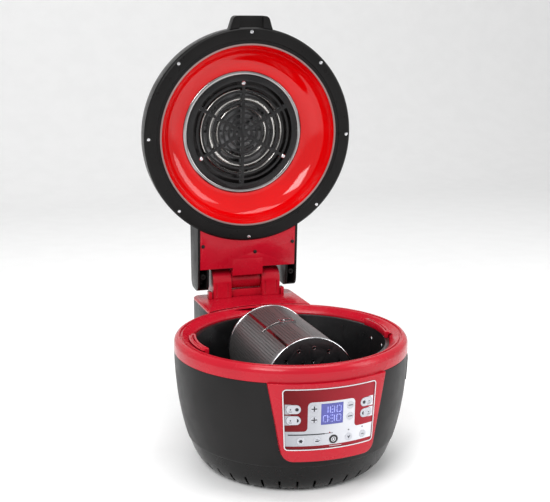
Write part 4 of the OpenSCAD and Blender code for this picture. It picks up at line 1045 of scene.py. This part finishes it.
def make_drum_fittings():
    """The door's rod and its lugs, the latch's lugs and stud, the seam strip and the keeper wire."""
    pin_r, lug_r, lug_t = 1.3 * MM, 2.6 * MM, 3 * MM
    front, back = DOOR_FRONT - 0.5 * MM, DOOR_BACK + 0.5 * MM
    rod = y_cylinder(DOOR_PIN.x, DOOR_PIN.z, front - lug_t - 0.5 * MM, back + lug_t + 0.5 * MM, pin_r, 24)
    place_piece("door_rod", *rod, "chrome", "door", ["basket_door"])
    for name, y in (("front", front - lug_t), ("back", back)):
        lug = tube(lug_r, pin_r + 0.05 * MM, y, y + lug_t, DOOR_PIN.x, DOOR_PIN.z)
        place_piece(f"door_lug_{name}", *lug, "drum_edge", "basket", ["basket_shell"])
    middle = (DOOR_FRONT + DOOR_BACK) / 2
    rod_x, _, rod_z = JOINTS["latch_hinge"]["pos_m"]
    for name, y in (("front", middle - 10.4 * MM), ("back", middle + 8.4 * MM)):
        lug = tube(1.7 * MM, 0.95 * MM, y, y + 2 * MM, rod_x, rod_z)
        post = box_mesh((rod_x - 1.4 * MM, y, rod_z - 1.8 * MM), (rod_x + 1.4 * MM, y + 2 * MM, rod_z - 1.0 * MM))
        place_piece(f"latch_lug_{name}", *join_meshes([lug, post]), "drum_edge", "door", ["basket_door"])
    stud_x = -8 * MM
    base = BASKET_Z + math.sqrt((BASKET_R - BASKET_WALL) ** 2 - (10 * MM) ** 2)
    stud = rounded_path([(0, base), (1.6 * MM, base), (1.6 * MM, base + 4.2 * MM), (0, base + 4.2 * MM)],
                        [0, 0, 0.7 * MM, 0])
    lathe("latch_stud", stud, "chrome", "basket", ["basket_shell"], 24, 35, Matrix.Translation((stud_x, middle, 0)))
    strip = []
    for r in (BASKET_R - 0.02 * MM, BASKET_R + 0.3 * MM):
        strip.append([drum_point(SEAM_FROM + SEAM_SWEEP * i / 8, y, r) for i in range(9)
                      for y in (FRONT_Y + 3 * MM, REAR_Y - 3 * MM)])
    vertices = strip[0] + strip[1]
    faces = []
    for i in range(8):
        a, b = 2 * i, 2 * i + 2
        faces += [(a, b, b + 1, a + 1), (18 + a, 18 + a + 1, 18 + b + 1, 18 + b),
                  (a, 18 + a, 18 + b, b), (a + 1, b + 1, 18 + b + 1, 18 + a + 1)]
    faces += [(0, 1, 19, 18), (16, 34, 35, 17)]
    place_piece("seam_strip", vertices, faces, "drum_edge", "basket", ["basket_shell"])
    wire_r = 0.9 * MM
    steps, ring = 24, 12
    vertices, faces = [], []
    for i in range(steps + 1):
        degrees = KEEPER_FROM + KEEPER_SWEEP * i / steps
        for k in range(ring):
            t = 2 * math.pi * k / ring
            x, _, z = drum_point(degrees, 0, BASKET_R + wire_r * (1 + math.cos(t)))
            vertices.append((x, middle + wire_r * math.sin(t), z))
    for i in range(steps):
        for k in range(ring):
            m = (k + 1) % ring
            faces.append((i * ring + k, i * ring + m, (i + 1) * ring + m, (i + 1) * ring + k))
    faces += [tuple(range(ring))[::-1], tuple(range(steps * ring, (steps + 1) * ring))]
    place_piece("keeper_wire", vertices, faces, "drum_edge", "basket", ["basket_shell"])


def make_drum_rims():
    """The rolled edge at each end of the drum."""
    half_w, half_t = 2.0 * MM, 1.1 * MM
    for name, y in (("front", BASKET_LOW.y + half_w), ("rear", BASKET_HIGH.y - half_w)):
        bead = oval(BASKET_R, y, half_t, half_w, 16)
        place = along_y(0, 0, BASKET_Z)
        place_piece(f"drum_rim_{name}", *moved(lathe_mesh(bead, 144), place), "chrome", "basket", ["basket_rims"])


def make_eyelets():
    """The punched holes in the drum's ends have bright rolled edges."""
    for name, y, side in (("front", FRONT_Y - 1.2 * MM, 1), ("rear", REAR_Y + 1.2 * MM, -1)):
        rings = []
        for i in range(14):
            for r in (BASKET_R * 0.48, BASKET_R * 0.78):
                angle = 2 * math.pi * (i + 0.3) / 14
                bead = oval(2.7 * MM, 0.0, 0.7 * MM, 0.45 * MM, 8)
                turn = turned(90, "X")
                place = Matrix.Translation((r * math.cos(angle), y + side * 0.35 * MM, BASKET_Z + r * math.sin(angle)))
                rings.append(moved(lathe_mesh(bead, 24), place @ turn))
        place_piece(f"{name}_eyelets", *join_meshes(rings), "chrome", "basket", [f"basket_{name}_end"])


make_drum()
make_drum_fittings()
make_eyelets()
soften("basket_front_end", "end_cap", 0.3 * MM)
soften("basket_rear_end", "end_cap", 0.3 * MM)
make_drum_rims()
soften("basket_latch", "chrome", 0.5 * MM)
keep_node("basket_spindle", "steel")


# ----------------------------------------------------------------------- lid

def lid_lathe(name, outline, material, replaces, steps=160, sharp=35.0, body="lid"):
    """A lathe round the lid's axis, drawn with the lid closed."""
    return lathe(name, outline, material, body, replaces, steps, sharp, OPEN_LID)


LID_R = SHELL_R + 0.5 * MM
RING_SCREW_R = 168.5 * MM
GUARD_SCREW_R = GUARD_R - 14 * MM
COIL_TURNS = (42, 56, 70)                        # millimetres
DOME_Z = LID_Z + RING_H


def dome_point(radius, height, t):
    """A point of the dome's outline at the fraction t of its quarter turn."""
    angle = math.pi / 2 * t
    return radius * max(math.cos(angle), 0.0) ** 0.55, height * math.sin(angle) ** 0.8


def make_dome():
    """The lid's outer dome with its ring of top slots."""
    steps = 36
    fractions = [1 - (1 - i / steps) ** 1.6 for i in range(steps + 1)]
    wall = 2.5 * MM
    # a little low, which keeps this smooth curve inside the CAD dome's flat facets
    height = DOME_H - 0.12 * MM
    outer = [dome_point(LID_R, height, t) for t in fractions]
    inner = [dome_point(LID_R - wall, height - wall, t) for t in fractions]
    outer[-1], inner[-1] = (0, height), (0, height - wall)
    outline = [(r, DOME_Z + z) for r, z in outer + inner[::-1]]
    dome = lid_lathe("dome_skin", outline, "black", ["lid_dome"], 192)
    slots = [moved(cutter, OPEN_LID) for cutter in
             ring_cutters(20, 38 * MM, 2 * MM, 30 * MM, DOME_Z + DOME_H - 20 * MM, DOME_Z + DOME_H + 20 * MM)]
    cut_with(dome, slots)


def make_lid_ring():
    """The flat ring round the lid's face."""
    flange = DISH_R + 3 * MM
    points = [(flange, DOME_Z), (flange, LID_Z + 1.8 * MM), (flange + 5 * MM, LID_Z + 1.8 * MM),
              (flange + 6 * MM, LID_Z), (LID_R - 3 * MM, LID_Z), (LID_R, LID_Z + 3 * MM),
              (LID_R, DOME_Z - 0.8 * MM), (LID_R - 0.8 * MM, DOME_Z)]
    radii = [0, 0.5, 0.6, 0.8, 1.8, 1.8, 0.3, 0.2]
    lid_lathe("lid_ring_skin", rounded_path(points, [x * MM for x in radii], 4), "black", ["lid_ring"], 224)


def make_dish():
    """The red dish, and the dark chamber round the fan behind it."""
    steps = 28
    thick = 1.2 * MM
    neck = GUARD_R + 6 * MM
    curve = [(neck + (DISH_R - neck) * max(math.cos(math.pi / 2 * i / steps), 0.0) ** 0.9,
              LID_Z + 3 * MM + (DISH_DEPTH - 1 * MM) * math.sin(math.pi / 2 * i / steps) ** 1.1)
             for i in range(steps + 1)]
    high = curve[-1][1]
    join = GUARD_R + thick
    outer = [(r + thick, z + (thick if i else 0)) for i, (r, z) in enumerate(curve)]
    lid_lathe("dish_skin", curve + [(join, high), (join, high + thick)] + outer[::-1], "dish", ["lid_dish"], 224)
    chamber = [(GUARD_R, high), (GUARD_R, CUP_TOP - 3 * thick), (GUARD_R - 2 * thick, CUP_TOP - thick),
               (6 * MM, CUP_TOP - thick), (6 * MM, CUP_TOP), (join - thick, CUP_TOP), (join, CUP_TOP - thick),
               (join, high)]
    lid_lathe("fan_chamber", chamber, "chamber", ["lid_dish"], 128)


def make_seal():
    """The soft bead at the dish's edge."""
    points = [(DISH_R, LID_Z + 0.3 * MM), (DISH_R + 3 * MM, LID_Z + 0.3 * MM), (DISH_R + 3 * MM, LID_Z + 3 * MM),
              (DISH_R, LID_Z + 3 * MM)]
    outline = rounded_path(points, [1.3 * MM, 1.3 * MM, 0.3 * MM, 0.3 * MM], 5)
    lid_lathe("seal_bead", outline, "seal", ["dish_seal"], 224)


def make_guard_trim():
    """The chrome ring round the fan guard, its steel darkened as a painted dark reflection of what lies round it."""
    low, width, height = LID_Z + DISH_DEPTH, 7 * MM, 1.9 * MM
    middle = GUARD_R - 1 * MM + width / 2
    arc = [math.pi + math.pi * i / 12 for i in range(13)]
    outline = [(middle + width / 2 * math.cos(t), low + height + height * math.sin(t)) for t in arc]
    lid_lathe("guard_trim_ring", outline, "shaded_chrome", ["guard_trim"], 192)


def screw(name, place, radius, height, material, body, replaces):
    """A pan-head screw with a cross recess; place carries it from Z up, standing on the origin."""
    outline = [(0, 0), (radius, 0)] + rounded_path([(radius, height * 0.35), (radius * 0.72, height), (0, height)],
                                                    [0, height * 0.4, 0], 3, closed=False)
    head = lathe(name, outline, material, body, replaces, 28, 35, place)
    cross = plus_outline(0, 0, radius * 0.55, radius * 0.12)
    cut_with(head, [moved(prism_mesh(cross, height * 0.4, height * 2), place)])


def make_lid_screws():
    """Eight screws round the lid's ring and three in the fan guard."""
    flip = Matrix.Rotation(math.pi, 4, "X")
    for i in range(8):
        turn = turned(45 * i)
        place = OPEN_LID @ turn @ Matrix.Translation((RING_SCREW_R, 0, LID_Z)) @ flip
        screw(f"ring_screw_{i + 1}", place, 2.6 * MM, 0.3 * MM, "chrome", "lid", ["lid_screws"])
    for i, degrees in enumerate((-90, 30, 150)):
        turn = turned(degrees)
        place = OPEN_LID @ turn @ Matrix.Translation((GUARD_SCREW_R, 0, LID_Z + DISH_DEPTH)) @ flip
        screw(f"guard_screw_{i + 1}", place, 3.4 * MM, 1.4 * MM, "chrome", "lid", ["lid_screws"])


def make_coil():
    """The heating tube's turns, its straps and its two leads."""
    tube_r = 3.2 * MM
    height = LID_Z + DISH_DEPTH + 9 * MM
    for i, radius in enumerate(COIL_TURNS):
        ring = oval(radius * MM, height, tube_r, tube_r, 20)
        lid_lathe(f"coil_turn_{i + 1}", ring, "coil", ["heating_element"], 128)
    for i, degrees in enumerate((90, 210, 330)):
        turn = turned(degrees)
        strap = box_mesh((40 * MM, -3 * MM, height - 0.8 * MM), (GUARD_R - 0.1 * MM, 3 * MM, height + 0.8 * MM))
        place_piece(f"coil_strap_{i + 1}", *strap, "steel", "lid", ["heating_element"], 35, OPEN_LID @ turn)
    for i, degrees in enumerate((78, 102)):
        turn = turned(degrees) @ Matrix.Translation((COIL_TURNS[-1] * MM, 0, 0))
        lead = lathe_mesh([(0, height), (2 * MM, height), (2 * MM, CUP_TOP - 1.3 * MM), (0, CUP_TOP - 1.3 * MM)], 24)
        place_piece(f"coil_lead_{i + 1}", *lead, "coil", "lid", ["heating_element"], 35, OPEN_LID @ turn)


def make_barrel():
    """The barrel that turns on the pin, in a darker red that is painted shade between the towers, and the tab that
    joins it to the arm.
    """
    radius, half = 15.5 * MM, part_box("hinge_barrel")[1].x
    bore = 4.05 * MM
    outline = rounded_path([(bore, -half), (radius, -half), (radius, half), (bore, half)],
                           [0.3 * MM, 1 * MM, 1 * MM, 0.3 * MM])
    place = OPEN_LID @ Matrix.Translation(HINGE) @ turned(90, "Y")
    lathe("barrel_skin", outline, "barrel_red_painted_shade", "lid", ["hinge_barrel"], 96, 35, place)
    edge = LID_Z + 3 * MM                        # the tab's face, level with the arm's cover
    back = HINGE.y - 42.5 * MM
    corners = [(back, edge), (HINGE.y - 13 * MM, edge), (HINGE.y - 12 * MM, HINGE.z + radius - 6 * MM),
               (HINGE.y - 12 * MM, HINGE.z + radius), (back, HINGE.z + radius)]
    side = rounded_path(corners, [0.5 * MM, 1.5 * MM, 0.3 * MM, 0.3 * MM, 0.5 * MM])
    turn = Matrix(((0, 0, 1, 0), (1, 0, 0, 0), (0, 1, 0, 0), (0, 0, 0, 1)))
    tab = moved(prism_mesh(side, -half, half), turn)
    place_piece("barrel_tab", *tab, "red", "lid", ["hinge_barrel"], 35, OPEN_LID)


make_dome()
make_lid_ring()
make_dish()
make_seal()
make_guard_trim()
make_lid_screws()
make_coil()
soften("fan_guard", "guard", 0.5 * MM, 3, 40)
soften("lid_arm", "black", 1.2 * MM)
soften("arm_cover", "red", 0.6 * MM)
make_barrel()
soften("lid_handle", "black", 2.0 * MM)
soften("arm_screws", "guard", 0.2 * MM)
soften("fan_impeller", "aluminium", 0.3 * MM)
soften("cooling_fan", "aluminium", 0.3 * MM)
keep_node("fan_motor", "motor")
